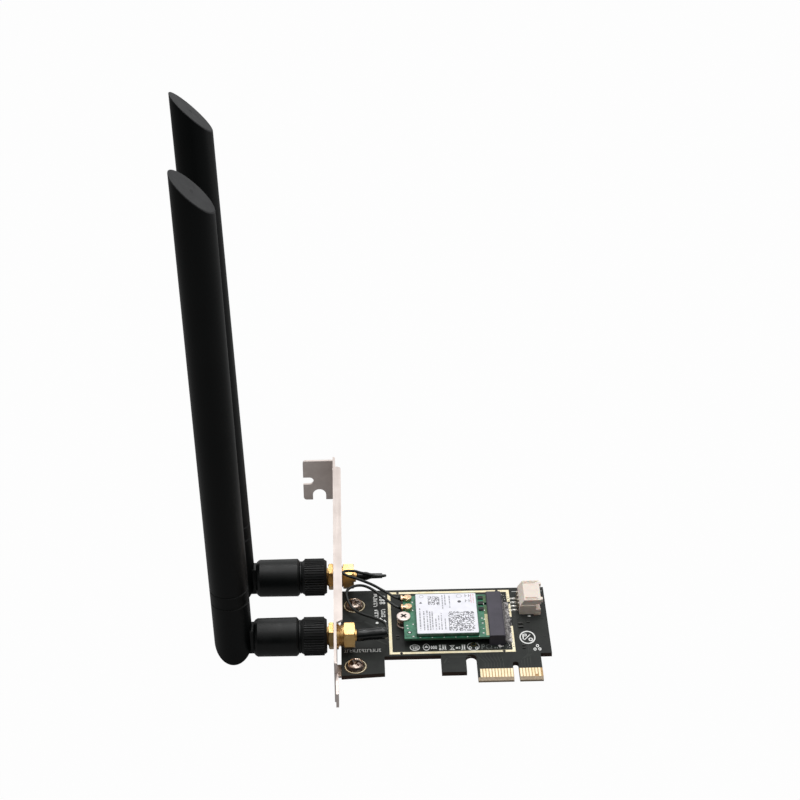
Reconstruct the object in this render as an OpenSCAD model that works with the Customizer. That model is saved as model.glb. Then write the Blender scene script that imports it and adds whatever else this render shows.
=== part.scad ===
// Low profile radio card for an expansion slot: a circuit board on a sheet metal
// bracket, a small radio module in a socket, two bulkhead jacks with coax pigtails
// and two rod antennas on tilt-and-swivel knuckles.
// Origin: centre line of the key notch, on the end of the edge contacts, halfway
// through the board. +X runs away from the bracket, +Y up the slot towards the
// bracket tab, +Z out of the component side.

/* [Circuit board] */
// Board thickness
board_t = 1.6; // [1.4:0.1:2.0]
// Board height above the end of the edge contacts
board_h = 46.7; // [44:0.1:56]
// Length of the board past the key notch centre
board_reach = 12.4; // [11:0.1:20]
// Gap between the bracket and the board
board_gap = 1.35; // [1:0.05:2.5]
// Height of the lower board edge above the end of the contacts
shoulder_h = 12.5; // [12:0.1:13.5]
// Width of the foot beside the bracket
foot_w = 14.2; // [12:0.1:17]
// Height of the foot's lower edge at the bracket
foot_y = 3.4; // [2.5:0.1:4]
// Rise of the foot's lower edge across its width
foot_rise = 0.9; // [0:0.1:1.5]
// Width of the latch hook beside the contacts
hook_w = 8.2; // [6:0.1:9]
// Height of the hook's lower edge
hook_y = 4.1; // [3:0.1:6]
// Width of the slot between hook and contacts
hook_slot_w = 3.5; // [3:0.1:3.9]

/* [Edge contacts] */
// Distance from the bracket's inner face to the key notch centre
key_to_bracket = 58.4; // [57.5:0.1:60]
// Width of the key notch
key_w = 1.9; // [1.8:0.05:2.0]
// Height of the top of the key notch
key_h = 8.5; // [7.5:0.1:9.5]
// Board width on the long side of the key notch
long_tab_w = 11.65; // [11.5:0.05:11.8]
// Board width on the short side of the key notch
short_tab_w = 7.65; // [7.5:0.05:7.8]
// Spacing of the contacts
contact_pitch = 1.0; // [0.98:0.01:1.02]
// Width of one contact
contact_w = 0.7; // [0.5:0.05:0.8]
// Length of one contact
contact_l = 4.1; // [3.5:0.1:5]
// Length of the bevel on the contact edge
bevel_l = 1.2; // [0.8:0.1:1.6]
// Depth of the bevel on each face
bevel_d = 0.45; // [0.3:0.05:0.6]
// Thickness of copper pads and traces
copper_t = 0.05; // [0.04:0.01:0.1]

/* [Bracket] */
// Sheet thickness
sheet_t = 0.86; // [0.7:0.02:1.2]
// Reach of the tongue below the end of the edge contacts
tongue_drop = 14.86; // [13:0.02:16]
// Height of the tab's underside above the end of the edge contacts
tab_seat_y = 104.3; // [103:0.1:106]
// Width of the strip
strip_w = 18.42; // [17.5:0.02:19]
// Width of the tab
tab_w = 17.2; // [16.5:0.1:18]
// Distance from the board's component face to the strip's near edge
strip_drop = 3.4; // [3:0.1:4]
// Reach of the tab past the strip's outer face
tab_reach = 10.9; // [10.5:0.01:12]
// Width of the screw slot in the tab
screw_slot_w = 4.8; // [4.2:0.1:5]
// Depth of the screw slot in the tab
screw_slot_d = 4.6; // [4:0.1:6]
// Distance from the strip's outer face to the screw slot
screw_slot_x = 5.1; // [4.6:0.1:5.5]
// Width of the side notch in the tab
side_notch_w = 3.1; // [2:0.1:4]
// Depth of the side notch in the tab
side_notch_d = 3.8; // [3:0.1:4.5]
// Distance from the tab's near edge to the side notch
side_notch_z = 8.4; // [8:0.1:12]
// Width of the tongue
tongue_w = 10.19; // [9:0.01:11]
// Length of the tongue
tongue_l = 7.3; // [6.5:0.1:8]
// Offset of the tongue towards the board
tongue_step = 0.5; // [0:0.1:0.8]
// Width of the stiffening flange, over the sheet
flange_w = 2.85; // [2:0.05:4]
// Distance from the tab to the top of the flange
flange_gap = 5.2; // [3:0.1:8]
// Height of the lower end of the flange
flange_y = 12.7; // [11:0.1:16]

/* [Bracket screws] */
// Height of the lower bracket screw
screw_y = 8.0; // [7.5:0.1:8.5]
// Distance of the bracket screws from the bracket
screw_x = 6.0; // [5.5:0.1:6.5]
// Distance between the two bracket screws, and between the two jacks
screw_spacing = 30.85; // [29:0.05:32]
// Shank diameter of the bracket screws
screw_d = 3.0; // [2.5:0.1:3.2]
// Head diameter of the bracket screws
screw_head_d = 6.0; // [5:0.1:6.4]
// Head height of the bracket screws
screw_head_h = 1.7; // [1.2:0.1:2.4]
// Outer diameter of the bare ring round each screw
screw_pad_d = 7.5; // [7:0.1:8.4]
// Length of each bracket ear along the strip
ear_l = 5.6; // [5:0.1:10]
// Reach of each bracket ear under the board
ear_reach = 10.2; // [9:0.1:12]

/* [Radio module] */
// Length of the module board
module_l = 30; // [29.8:0.1:30.2]
// Width of the module board
module_w = 22; // [21.8:0.1:22.2]
// Thickness of the module board
module_t = 0.8; // [0.7:0.05:0.9]
// Distance from the bracket to the module
module_x = 22.35; // [21:0.05:23]
// Distance from the board's top edge to the module's centre line
module_drop = 18.3; // [16:0.1:20]
// Height of the module's underside above the board
module_lift = 2.45; // [2.3:0.05:2.6]
// Radius of the screw notch in the module's end
module_notch_r = 1.75; // [1.6:0.05:1.9]
// Length of the shield can
shield_l = 20.8; // [18:0.1:21]
// Width of the shield can
shield_w = 20.9; // [18:0.1:21.2]
// Height of the shield can
shield_h = 1.3; // [1:0.1:1.6]
// Distance from the module's end to the shield can
shield_x = 4.05; // [3.9:0.05:4.6]
// Label thickness
label_t = 0.1; // [0.05:0.01:0.15]
// Distance between the module's two antenna jacks
ufl_spacing = 4.8; // [4.2:0.1:5.2]
// Distance from the module's top edge to the first antenna jack
ufl_edge = 1.9; // [1.6:0.1:2.4]
// Diameter of the module's antenna jacks
ufl_d = 1.6; // [1.4:0.1:1.8]
// Width of the foot of the module's antenna jacks
ufl_foot_w = 2.0; // [1.8:0.1:2.2]
// Diameter of the pigtail plugs
plug_d = 2.6; // [2.4:0.1:2.8]
// Height of the pigtail plugs
plug_h = 1.1; // [1.0:0.05:1.3]
// Reach of the crimped tail from the middle of its plug
plug_tail_l = 3.2; // [3:0.1:3.6]
// Diameter of the crimped tail
plug_tail_d = 1.3; // [1.2:0.05:1.35]

/* [Module socket] */
// Length of the socket along the module
socket_l = 5.25; // [4.8:0.05:6]
// Width of the socket
socket_w = 22.9; // [22.6:0.1:24]
// Height of the socket
socket_h = 4.2; // [4:0.1:4.6]
// Depth to which the module sits in the socket
socket_grip = 1.85; // [1.5:0.05:2.5]
// Pitch of the socket's solder tails
tail_pitch = 0.5; // [0.4:0.1:1]
// Diameter of the module's standoff
standoff_d = 4.4; // [4:0.1:5]
// Head diameter of the module screw
module_screw_head_d = 4.6; // [4:0.1:4.8]
// Thread diameter of the module screw
module_screw_d = 2.0; // [1.6:0.1:2.2]

/* [Cable header] */
// Depth of the header body
header_l = 7.2; // [6.8:0.1:8]
// Depth of the slope at the header's back
header_slope = 1.6; // [1:0.1:2]
// Width of the header body
header_w = 10.9; // [10.4:0.1:12]
// Height of the header body
header_h = 6.0; // [5.6:0.1:6.5]
// Wall of the header body
header_wall = 0.8; // [0.6:0.1:1]
// Distance from the bracket to the header's back
header_x = 61.6; // [61.4:0.1:62.4]
// Distance from the board's top edge to the header's centre line
header_drop = 9.0; // [8:0.1:11]
// Pitch of the header's pins
header_pitch = 2.0; // [1.8:0.1:2.1]
// Thickness of the header's pins
header_pin_t = 0.5; // [0.4:0.05:0.64]
// Reach of the solder tails behind the header
header_tail_l = 2.4; // [2:0.1:2.4]

/* [Bulkhead jacks] */
// Height of the lower jack
jack_y = 16.7; // [15:0.1:17.5]
// Thread diameter of a jack
jack_d = 6.35; // [6.2:0.05:6.5]
// Reach of a jack's thread past the bracket's inner face
jack_reach = 9.2; // [9:0.1:10]
// Width across the flats of the hexagons
hex_w = 8.0; // [7.8:0.1:8.2]
// Turn of the hexagon inside the bracket
hex_turn = 15; // [0:1:59]
// Thickness of the hexagon inside the bracket
hex_l = 3.7; // [3:0.1:4.2]
// Distance from the bracket to the hexagon inside it
hex_x = 2.3; // [2:0.1:2.8]
// Thickness of the nut outside the bracket
nut_t = 1.8; // [1.5:0.1:2]
// Thickness of the lock washer inside the bracket
washer_t = 0.6; // [0.4:0.1:0.8]
// Outer diameter of the lock washer
washer_d = 9.0; // [8.6:0.1:9.6]
// Bore of a jack
jack_bore_d = 4.6; // [4.4:0.1:4.8]
// Diameter of the crimp ferrule behind the hexagon
ferrule_d = 2.3; // [2:0.1:2.6]
// Length of the sleeve shrunk over the ferrule and the cable
shrink_l = 8.8; // [8:0.1:9.2]
// Wall of the shrunk sleeve on the cable
shrink_wall = 0.3; // [0.25:0.05:0.6]
// Diameter of the front shrunk sleeve
front_shrink_d = 4.2; // [2.9:0.1:4.4]
// Diameter of the rear shrunk sleeve
rear_shrink_d = 2.9; // [2.9:0.1:4.4]
// Diameter of the coax cable
coax_d = 1.13; // [0.8:0.01:1.4]

/* [Antenna connectors] */
// Diameter of the knurled coupling nut over its ribs
coupling_d = 12.7; // [11:0.1:13]
// Length of the coupling nut
coupling_l = 8.4; // [8:0.1:8.5]
// Distance from the bracket to the coupling nut's open end
coupling_x = 3.2; // [3:0.1:3.4]
// Number of ribs on the coupling nut
coupling_ribs = 44; // [30:2:60]
// Depth of the ribs on the coupling nut
rib_h = 0.35; // [0.2:0.05:0.5]
// Radial clearance of turning fits
fit = 0.05; // [0.03:0.01:0.08]
// Diameter of the swivel spool in the sleeve
spool_d = 5.6; // [5:0.1:6]
// Diameter of the neck that the coupling nut and sleeve turn on
neck_d = 4.2; // [3.8:0.1:4.4]

/* [Antennas] */
// Diameter of the swivel sleeve
sleeve_d = 12.8; // [12:0.1:13.4]
// Distance from the bracket to the swivel sleeve
sleeve_x = 12.4; // [12.2:0.1:12.8]
// Length of the swivel sleeve
sleeve_l = 14.8; // [14:0.1:16]
// Gap between the sleeve and the whip's rounded end
knuckle_gap = 0.4; // [0.3:0.05:0.6]
// Thickness of the knuckle tongue
tongue_t = 5.2; // [4:0.1:6]
// Side clearance of the knuckle tongue in its slot
tongue_gap = 0.3; // [0.25:0.05:0.5]
// Diameter of the hinge pin
pin_d = 3.0; // [2.4:0.1:3.4]
// Diameter of the whip
whip_d = 12.6; // [12:0.1:13.4]
// Length of the whip from the hinge pin to the middle of the slanted tip
whip_l = 164; // [120:0.5:180]
// Slant of the tip
tip_slant = 46; // [30:1:50]
// Wall of the radome
radome_wall = 1.3; // [1:0.1:1.8]
// Height of the knuckle base above the hinge pin
base_h = 16.4; // [14:0.1:20]
// Height of the collar ring
collar_h = 4.8; // [3:0.1:6]
// Lean of the front whip towards the bracket tab
front_lean = 1.1; // [0:0.1:10]
// Lean of the front whip away from the bracket
front_tilt = 1.5; // [0:0.1:5]
// Lean of the rear whip towards the bracket tab
rear_lean = 10.5; // [8:0.1:20]
// Lean of the rear whip away from the bracket
rear_tilt = 2.7; // [0:0.1:6]

/* [Hidden] */
$fn = 48;
cut = 0.1;

// Board outline, measured from the bracket and from the end of the contacts
board_right = key_to_bracket + board_reach;
long_edge = key_to_bracket - key_w / 2 - long_tab_w;
short_edge = key_to_bracket + key_w / 2 + short_tab_w;
hook_right = long_edge - hook_slot_w;
foot_right = board_gap + foot_w;
screw_hole_d = screw_d + 0.2;

// Contacts on each side of the key notch
long_contacts = 11;
short_contacts = 7;
key_clear = 1.5;
short_contact = 5;
short_contact_cut = 1.1;

// Guard trace
trace_w = 1.0;
trace_left = 17.3;
trace_right = 58.9;
trace_low = 13.4;
trace_high = board_h - 1.2;
trace_gaps = [[26.5, 31.2], [38.1, 39.2]];

// Bracket
strip_z = -strip_drop;
strip_top_z = strip_z + strip_w;
tab_top_y = tab_seat_y + sheet_t;
tab_corner_r = 1.2;
tongue_corner = 2.5;
tongue_taper = [3.9, 2.3];
flange_r = 1.5;
flange_slope = 1.2;
ear_corner = 1.6;
tongue_end_y = -tongue_drop;
tongue_top_y = tongue_end_y + tongue_l;
strip_mid_z = strip_z + strip_w / 2;
screw_ys = [screw_y, screw_y + screw_spacing];
relief_w = 1.0;

// Radio module and socket
module_y = board_h - module_drop;
module_low = module_y - module_w / 2;
module_top = module_lift + module_t;
ufl_ys = [module_low + module_w - ufl_edge, module_low + module_w - ufl_edge - ufl_spacing];
ufl_x = module_x + 1.65;
ufl_h = 0.5;
ufl_wall = 0.25;
plug_lift = 0.15;
plug_gap = 0.03;
plug_axis_z = module_top + plug_lift + plug_h / 2;
crimp_l = 0.9;
crimp_x = 0.6;
crimp_inset = 0.2;
tail_l = 2.4;
tail_share = 0.44;
tail_t = 0.18;
tail_rise = 1.1;
contact_share = 0.6;
contact_edge = 0.4;
contact_reach = 2.5;
chip_l = 1.7;
chip_w = 1.4;
chip_h = 0.5;
chip_gap = 0.5;
chip_pitch = 2.9;
chip_drop = 2.0;
socket_x = module_x + module_l - socket_grip;
slot_gap = 0.08;
key_offset = 6.1;
module_key_y = module_y + key_offset;
module_key_w = 1.2;
contact_end = 3.4;
module_screw_head_h = 0.7;

// Cable header
header_ways = 4;
header_y = board_h - header_drop;
header_pin_z = 2.9;
header_back = 1.4;
header_groove = 0.5;
header_latch = 0.8;

// Jacks and antennas
jack_z = strip_mid_z;
jack_ys = [jack_y, jack_y + screw_spacing];
jack_flat = 0.45;
hex_end = hex_x + hex_l;
collar_t = 0.7;
ferrule_l = 3.2;
pin_contact_d = 1.27;
bore_depth = 4.6;
collar_d = 5.8;
lip_t = 1.15;
pilot_l = 1.9;
face_gap = 0.05;
spool_l = 4.8;
sleeve_lip = 0.8;
sleeve_end = sleeve_x + sleeve_l;
pivot_x = sleeve_end + knuckle_gap + whip_d / 2;
tongue_r = 4.6;
slot_r = tongue_r + 0.4;
spigot_h = 2.2;
spigot_fit = 0.03;
radiator_d = 1.6;
choke_d = 5.0;
leans = [front_lean, rear_lean];
tilts = [front_tilt, rear_tilt];
sleeve_seat = 0.2;
shrink_ds = [front_shrink_d, rear_shrink_d];
shrink_tails = [0.06, 0.42];
route_start_x = hex_end + collar_t + sleeve_seat + shrink_l;

// Small chip capacitors and resistors: place, length and width
chips = [[61.6, 27.6, 1.6, 0.8], [61.6, 25.8, 1.6, 0.8], [64.2, 28.2, 1, 0.5],
  [61.8, 15.2, 1, 0.5], [61.8, 16.4, 1, 0.5], [20.2, 22.5, 1, 0.5], [20.2, 21.3, 1, 0.5]];

// Routes of the two pigtails, from the shrunk sleeve to the plug on the module
front_route = [
  [0, 0, 0], [0.7, 0.3, 0.1], [1, 1.2, 0.2], [1, 2.5, 0.2], [0.8, 4.2, -0.1],
  [0.3, 6.9, -0.8], [-1.2, 9.4, -1.7], [-3.4, 11.6, -2.4], [-5.6, 13.2, -2.8],
  [-7.7, 14.5, -2.9], [-9.4, 16.1, -3], [-10.7, 17.8, -2.8], [-11.8, 19.9, -2.1],
  [-12.4, 22.1, -0.8], [-12.1, 23.6, -0.1], [-11, 24.4, 0.3], [-9.6, 25.1, 0.4],
  [-8.2, 25.4, 0.4], [-6.8, 25.4, 0.3], [-5.2, 25, 0], [-3.1, 24, -0.7], [-1.6, 22.5, -0.9],
  [-0.3, 20.9, -1], [1.6, 18.8, -1.3], [3.4, 17, -1.6], [4.3, 16.3, -1.8]];
rear_route = [
  [0, 0, 0], [0.6, -0.1, 0.1], [1, -0.5, 0.4], [0.9, -1, 0.8], [0.2, -1.35, 0.95],
  [-1, -1.4, 1], [-2.6, -1.35, 1.15], [-4.2, -1.3, 1.6], [-5.8, -1.3, 2.1],
  [-7.7, -1.7, 2.9], [-9.4, -2.6, 4.4], [-11.6, -3.5, 5.2], [-12.9, -3.9, 5.4],
  [-13.5, -4.5, 5.3], [-13, -5, 5], [-11.6, -5.4, 4.5], [-10, -5.5, 3.9], [-8.2, -5.5, 3.1],
  [-5.9, -5.4, 1.9], [-3.2, -5.8, 0.7], [-0.9, -6.5, -0.5], [1.2, -7.6, -1.1],
  [3.2, -9.1, -1.6], [4.3, -9.8, -1.8]];

module board_frame() {
  translate([-key_to_bracket, 0, board_t / 2]) children();
}

module port(i) {
  board_frame() translate([0, jack_ys[i], jack_z]) children();
}

// Axis pointing out of the bracket, started at its inner face
module outward() {
  rotate([0, -90, 0]) children();
}

module swivelled(i) {
  port(i) rotate([-leans[i], 0, 0]) children();
}

module whip_frame(i) {
  swivelled(i) translate([-pivot_x, 0, 0]) rotate([0, -tilts[i], 0]) children();
}

module block(x, y, z) {
  translate([x[0], y[0], z[0]]) cube([x[1] - x[0], y[1] - y[0], z[1] - z[0]]);
}

module ring(outer, inner, h) {
  difference() {
    cylinder(d = outer, h = h);
    translate([0, 0, -cut]) cylinder(d = inner, h = h + 2 * cut);
  }
}

// Hexagon with its corners turned off at both ends
module hexagon(h) {
  corner = hex_w / 2 / cos(30) + cut;
  flat = hex_w / 2;
  drop = (corner - flat) * tan(30);
  intersection() {
    cylinder(d = hex_w / cos(30), h = h, $fn = 6);
    rotate_extrude()
      polygon([[0, 0], [flat, 0], [corner, drop], [corner, h - drop], [flat, h], [0, h]]);
  }
}

module board_outline() {
  difference() {
    polygon([
      [board_gap, foot_y], [foot_right, foot_y + foot_rise], [foot_right, shoulder_h],
      [hook_right - hook_w, shoulder_h], [hook_right - hook_w, hook_y], [long_edge - cut, hook_y],
      [long_edge - cut, 0], [short_edge, 0],
      [short_edge, shoulder_h], [board_right, shoulder_h], [board_right, board_h],
      [board_gap, board_h]]);
    translate([key_to_bracket - key_w / 2, -cut]) square([key_w, key_h - key_w / 2 + cut]);
    translate([key_to_bracket, key_h - key_w / 2]) circle(d = key_w);
    translate([long_edge - hook_slot_w / 2, 0]) rounded_slot(hook_slot_w, shoulder_h);
    for (y = screw_ys) translate([screw_x, y]) circle(d = screw_hole_d);
  }
}

module edge_bevel() {
  translate([long_edge - cut, 0, 0]) rotate([90, 0, 90])
    linear_extrude(short_edge - long_edge + 2 * cut)
      polygon([[-cut, cut], [-cut, -bevel_d * (1 + cut / bevel_l)], [bevel_l, 0], [bevel_l, cut]]);
}

module circuit_board() {
  color([0.17, 0.18, 0.17]) board_frame() difference() {
    translate([0, 0, -board_t]) linear_extrude(board_t) board_outline();
    edge_bevel();
    translate([0, 0, -board_t]) mirror([0, 0, 1]) edge_bevel();
  }
}

module contact_row(first, count, short_one) {
  for (i = [0:count - 1]) {
    low = bevel_l + (i == short_one ? short_contact_cut : 0);
    x = first + i * contact_pitch;
    block([x - contact_w / 2, x + contact_w / 2], [low, bevel_l + contact_l], [0, copper_t]);
  }
}

module contact_face() {
  contact_row(key_to_bracket - key_clear - (long_contacts - 1) * contact_pitch, long_contacts, -1);
  contact_row(key_to_bracket + key_clear, short_contacts, short_contact);
}

module edge_contacts() {
  color([0.93, 0.79, 0.45]) board_frame() {
    contact_face();
    translate([0, 0, -board_t]) mirror([0, 0, 1]) contact_face();
  }
}

module guard_trace() {
  x = [trace_left, trace_right];
  color([0.95, 0.88, 0.68]) board_frame() difference() {
    block(x, [trace_low, trace_high], [0, copper_t]);
    block([x[0] + trace_w, x[1] - trace_w], [trace_low + trace_w, trace_high - trace_w],
      [-cut, copper_t + cut]);
    for (gap = trace_gaps) block([x[1] - 2 * trace_w, x[1] + cut], gap, [-cut, copper_t + cut]);
  }
}

module screw_pads() {
  color([0.93, 0.79, 0.45]) board_frame()
    for (y = screw_ys) translate([screw_x, y, 0]) ring(screw_pad_d, screw_hole_d, copper_t);
}

module rounded_slot(w, d) {
  translate([-w / 2, -cut]) square([w, d - w / 2 + cut]);
  translate([0, d - w / 2]) circle(d = w);
}

module rounded_plate(w, h, r) {
  translate([r, 0]) square([w - 2 * r, h]);
  translate([0, r]) square([w, h - 2 * r]);
  for (x = [r, w - r], y = [r, h - r]) translate([x, y]) circle(r = r);
}

// Tab outline, from the strip's outer face outwards and up from its near edge
module tab_outline() {
  difference() {
    union() {
      rounded_plate(tab_reach, tab_w, tab_corner_r);
      translate([-cut, 0]) square([tab_reach / 2, tab_w]);
    }
    translate([screw_slot_x, 0]) rounded_slot(screw_slot_w, screw_slot_d);
    translate([tab_reach, side_notch_z]) rotate(90) rounded_slot(side_notch_w, side_notch_d);
  }
}

// Strip outline in the plane of the sheet: along the slot, then out of the board
module strip_outline() {
  side = (strip_w - tongue_w) / 2;
  difference() {
    translate([tongue_top_y, strip_z]) square([tab_top_y - tongue_top_y, strip_w]);
    translate([tongue_top_y - cut, strip_z - cut]) 
      polygon([[0, 0], [tongue_corner, 0], [0, tongue_corner]]);
    for (i = [0, 1]) translate([jack_ys[i], jack_z]) jack_hole();
    for (y = screw_ys, s = [-1, 1])
      translate([y + s * (ear_l + relief_w) / 2 - relief_w / 2, strip_z - cut])
        square([relief_w, strip_drop - board_t + cut]);
    for (y = screw_ys) translate([y - ear_l / 2, strip_z - cut])
      square([ear_l, strip_drop - board_t - sheet_t + cut]);
  }
  translate([tongue_end_y, strip_z + side]) polygon([
    [0, tongue_taper[1]], [tongue_taper[0], 0], [tongue_l + cut, 0], [tongue_l + cut, tongue_w],
    [tongue_taper[0], tongue_w], [0, tongue_w - tongue_taper[1]]]);
}

module jack_hole() {
  difference() {
    circle(d = jack_d + 0.15);
    translate([-jack_d, jack_d / 2 - jack_flat + 0.08]) square([2 * jack_d, jack_d]);
  }
}

// Side view of the sheet: the tongue is stepped towards the board
module strip_profile() {
  polygon([
    [-sheet_t, tab_seat_y], [-sheet_t, tongue_top_y + 1],
    [-sheet_t + tongue_step, tongue_top_y - 1], [-sheet_t + tongue_step, tongue_end_y - cut],
    [tongue_step, tongue_end_y - cut], [tongue_step, tongue_top_y - 1], [0, tongue_top_y + 1],
    [0, tab_seat_y]]);
  intersection() {
    translate([-sheet_t, tab_seat_y]) circle(r = sheet_t);
    translate([-sheet_t, tab_seat_y]) square(2 * sheet_t);
  }
}

module flange() {
  top_y = tab_seat_y - flange_gap;
  w = flange_w - sheet_t;
  translate([0, 0, strip_top_z - sheet_t]) linear_extrude(sheet_t) {
    polygon([[-cut, flange_y], [w, flange_y + flange_slope], [w, top_y - flange_r],
      [-cut, top_y - flange_r]]);
    translate([-cut, top_y - flange_r - cut]) square([w + cut - flange_r, flange_r + cut]);
    translate([w - flange_r, top_y - flange_r]) circle(r = flange_r);
  }
}

module bracket_ear() {
  difference() {
    translate([-sheet_t, -ear_l / 2, 0]) cube([ear_reach + sheet_t, ear_l, sheet_t]);
    translate([screw_x, 0, -cut]) cylinder(d = screw_d, h = sheet_t + 2 * cut);
    for (s = [-1, 1]) translate([ear_reach, s * ear_l / 2, sheet_t / 2]) rotate(45)
      cube([ear_corner, ear_corner, 2 * sheet_t], center = true);
  }
}

module bracket() {
  color([0.72, 0.70, 0.66]) board_frame() {
    intersection() {
      translate([-2, 0, 0]) rotate([90, 0, 90]) linear_extrude(4) strip_outline();
      translate([0, 0, strip_z - 1]) linear_extrude(strip_w + 2) strip_profile();
    }
    translate([-sheet_t, tab_top_y, strip_z]) mirror([1, 0, 0]) rotate([90, 0, 0])
      linear_extrude(sheet_t) tab_outline();
    flange();
    for (y = screw_ys) translate([0, y, -board_t - sheet_t]) bracket_ear();
  }
}

module screw_head(d, h, recess) {
  difference() {
    union() {
      cylinder(d = d, h = h / 2);
      translate([0, 0, h / 2]) cylinder(d1 = d, d2 = 0.7 * d, h = h / 2);
    }
    for (a = [0, 90]) rotate(a)
      translate([-recess / 2, -recess / 8, h / 2]) cube([recess, recess / 4, h]);
  }
}

module bracket_screws() {
  shank = screw_d - 0.04;
  tip = board_t + sheet_t + 0.6;
  color([0.78, 0.77, 0.75]) board_frame() for (y = screw_ys) translate([screw_x, y, 0]) {
    translate([0, 0, copper_t]) rotate(25) screw_head(screw_head_d, screw_head_h, 3.2);
    translate([0, 0, -tip]) cylinder(d = shank, h = tip + copper_t);
  }
}

module socket_profile() {
  polygon([[0, 0], [socket_l, 0], [socket_l, socket_h - 0.5], [socket_l - 0.5, socket_h],
    [0.3, socket_h], [0, socket_h - 0.3]]);
}

module module_socket() {
  back = socket_grip + 0.4;
  w = module_w + 0.2;
  rib = module_key_w - 0.2;
  color([0.22, 0.21, 0.25]) board_frame() translate([socket_x, module_y, 0]) difference() {
    translate([0, socket_w / 2, 0]) rotate([90, 0, 0]) linear_extrude(socket_w) socket_profile();
    difference() {
      block([-cut, back], [-w / 2, w / 2], [module_lift - slot_gap, module_top + slot_gap]);
      block([-2 * cut, back + cut], [key_offset - rib / 2, key_offset + rib / 2], [0, socket_h]);
    }
  }
}

module socket_contacts() {
  rows = floor((socket_w - 2.4) / tail_pitch);
  w = tail_pitch * tail_share;
  color([0.86, 0.82, 0.76]) board_frame() translate([socket_x + socket_l, module_y, 0])
    for (i = [0:rows]) translate([0, (i - rows / 2) * tail_pitch + w / 2, 0])
      rotate([90, 0, 0]) linear_extrude(w)
        polygon([[0, 0], [tail_l, 0], [tail_l, tail_t], [0.9, tail_t], [0.5, tail_rise],
          [0, tail_rise]]);
}

module module_standoff() {
  color([0.83, 0.81, 0.78]) board_frame() translate([module_x, module_y, 0])
    ring(standoff_d, module_screw_d + 0.06, module_lift);
}

module module_screw() {
  color([0.85, 0.82, 0.80]) board_frame() translate([module_x, module_y, 0]) {
    translate([0, 0, module_top]) rotate(20)
      screw_head(module_screw_head_d, module_screw_head_h, 2.4);
    translate([0, 0, 0.4]) cylinder(d = module_screw_d, h = module_top - 0.4);
  }
}

module module_board() {
  color([0.20, 0.50, 0.40]) board_frame() translate([module_x, 0, module_lift])
    linear_extrude(module_t) difference() {
      translate([0, module_low]) square([module_l, module_w]);
      translate([0, module_y]) circle(r = module_notch_r);
      translate([module_l - contact_end, module_key_y])
        circle(d = module_key_w);
      translate([module_l - contact_end, module_key_y - module_key_w / 2])
        square([contact_end + cut, module_key_w]);
    }
}

module centred_plate(l, w, r) {
  translate([0, -w / 2]) rounded_plate(l, w, r);
}

module module_shield() {
  color([0.78, 0.78, 0.80]) board_frame() translate([module_x + shield_x, module_y, module_top]) {
    translate([0.15, 0, 0]) linear_extrude(shield_h / 2)
      centred_plate(shield_l - 0.3, shield_w - 0.3, 0.5);
    translate([0, 0, shield_h / 3]) linear_extrude(shield_h * 2 / 3)
      centred_plate(shield_l, shield_w, 0.6);
  }
}

module module_label() {
  edge = 0.25;
  color([0.94, 0.94, 0.97]) board_frame()
    translate([module_x + shield_x + edge, module_y, module_top + shield_h])
      linear_extrude(label_t) centred_plate(shield_l - 2 * edge, shield_w - 2 * edge, 0.5);
}

module module_jacks() {
  color([0.90, 0.74, 0.42]) board_frame() for (y = ufl_ys) translate([ufl_x, y, module_top]) {
    translate([-ufl_foot_w / 2, -ufl_foot_w / 2, 0])
      cube([ufl_foot_w, ufl_foot_w, plug_lift - plug_gap]);
    ring(ufl_d, ufl_d - 2 * ufl_wall, ufl_h);
    cylinder(d = 0.4, h = ufl_h - 0.1);
  }
}

module module_chips() {
  x = module_x + shield_x + shield_l + chip_gap;
  top = module_low + module_w - chip_drop;
  color([0.12, 0.12, 0.13]) board_frame() for (i = [0:2]) translate([x, top - i * chip_pitch, 0])
    block([0, chip_l], [-chip_w / 2, chip_w / 2], [module_top, module_top + chip_h]);
}

module module_contacts() {
  rows = floor((module_w - 2) / tail_pitch);
  w = tail_pitch * contact_share;
  end = module_x + module_l - contact_edge;
  color([0.92, 0.78, 0.45]) board_frame() for (i = [0:rows]) {
    y = module_low + 1 + i * tail_pitch;
    if (abs(y - module_key_y) > module_key_w / 2 + tail_pitch / 2)
      block([end - contact_reach, end], [y - w / 2, y + w / 2], [module_top, module_top + copper_t]);
  }
}

// Side view of the header: sloped at the back, where its pins come out
module header_profile() {
  polygon([[0, 0], [header_l, 0], [header_l, header_h], [header_slope, header_h],
    [0, header_h * 0.58]]);
}

module cable_header() {
  inner = header_w - 2 * header_wall;
  color([0.92, 0.87, 0.82]) board_frame() translate([header_x, header_y, 0]) difference() {
    translate([0, header_w / 2, 0]) rotate([90, 0, 0]) linear_extrude(header_w) header_profile();
    block([header_back + 0.9, header_l + cut], [-inner / 2, inner / 2],
      [header_wall, header_h - header_wall]);
    for (s = [-1, 1]) {
      block([header_slope + 0.4, header_l - 0.6],
        [s * inner / 2 - header_groove / 2, s * inner / 2 + header_groove / 2],
        [header_h - 0.3, header_h + cut]);
      block([header_l - 1.6, header_l + cut],
        [s * header_w / 2 - header_wall - cut, s * header_w / 2 + header_wall + cut],
        [header_h * 0.35, header_h * 0.7]);
    }
    for (i = [0:header_ways - 1]) translate([0, header_pin_y(i), 0])
      block([-cut, header_back + 1], [-header_pin_t / 2 - 0.02, header_pin_t / 2 + 0.02],
        [header_pin_z - header_pin_t / 2 - 0.02, header_pin_z + header_pin_t / 2 + 0.02]);
  }
}

function header_pin_y(i) = (i - (header_ways - 1) / 2) * header_pitch;

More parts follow.
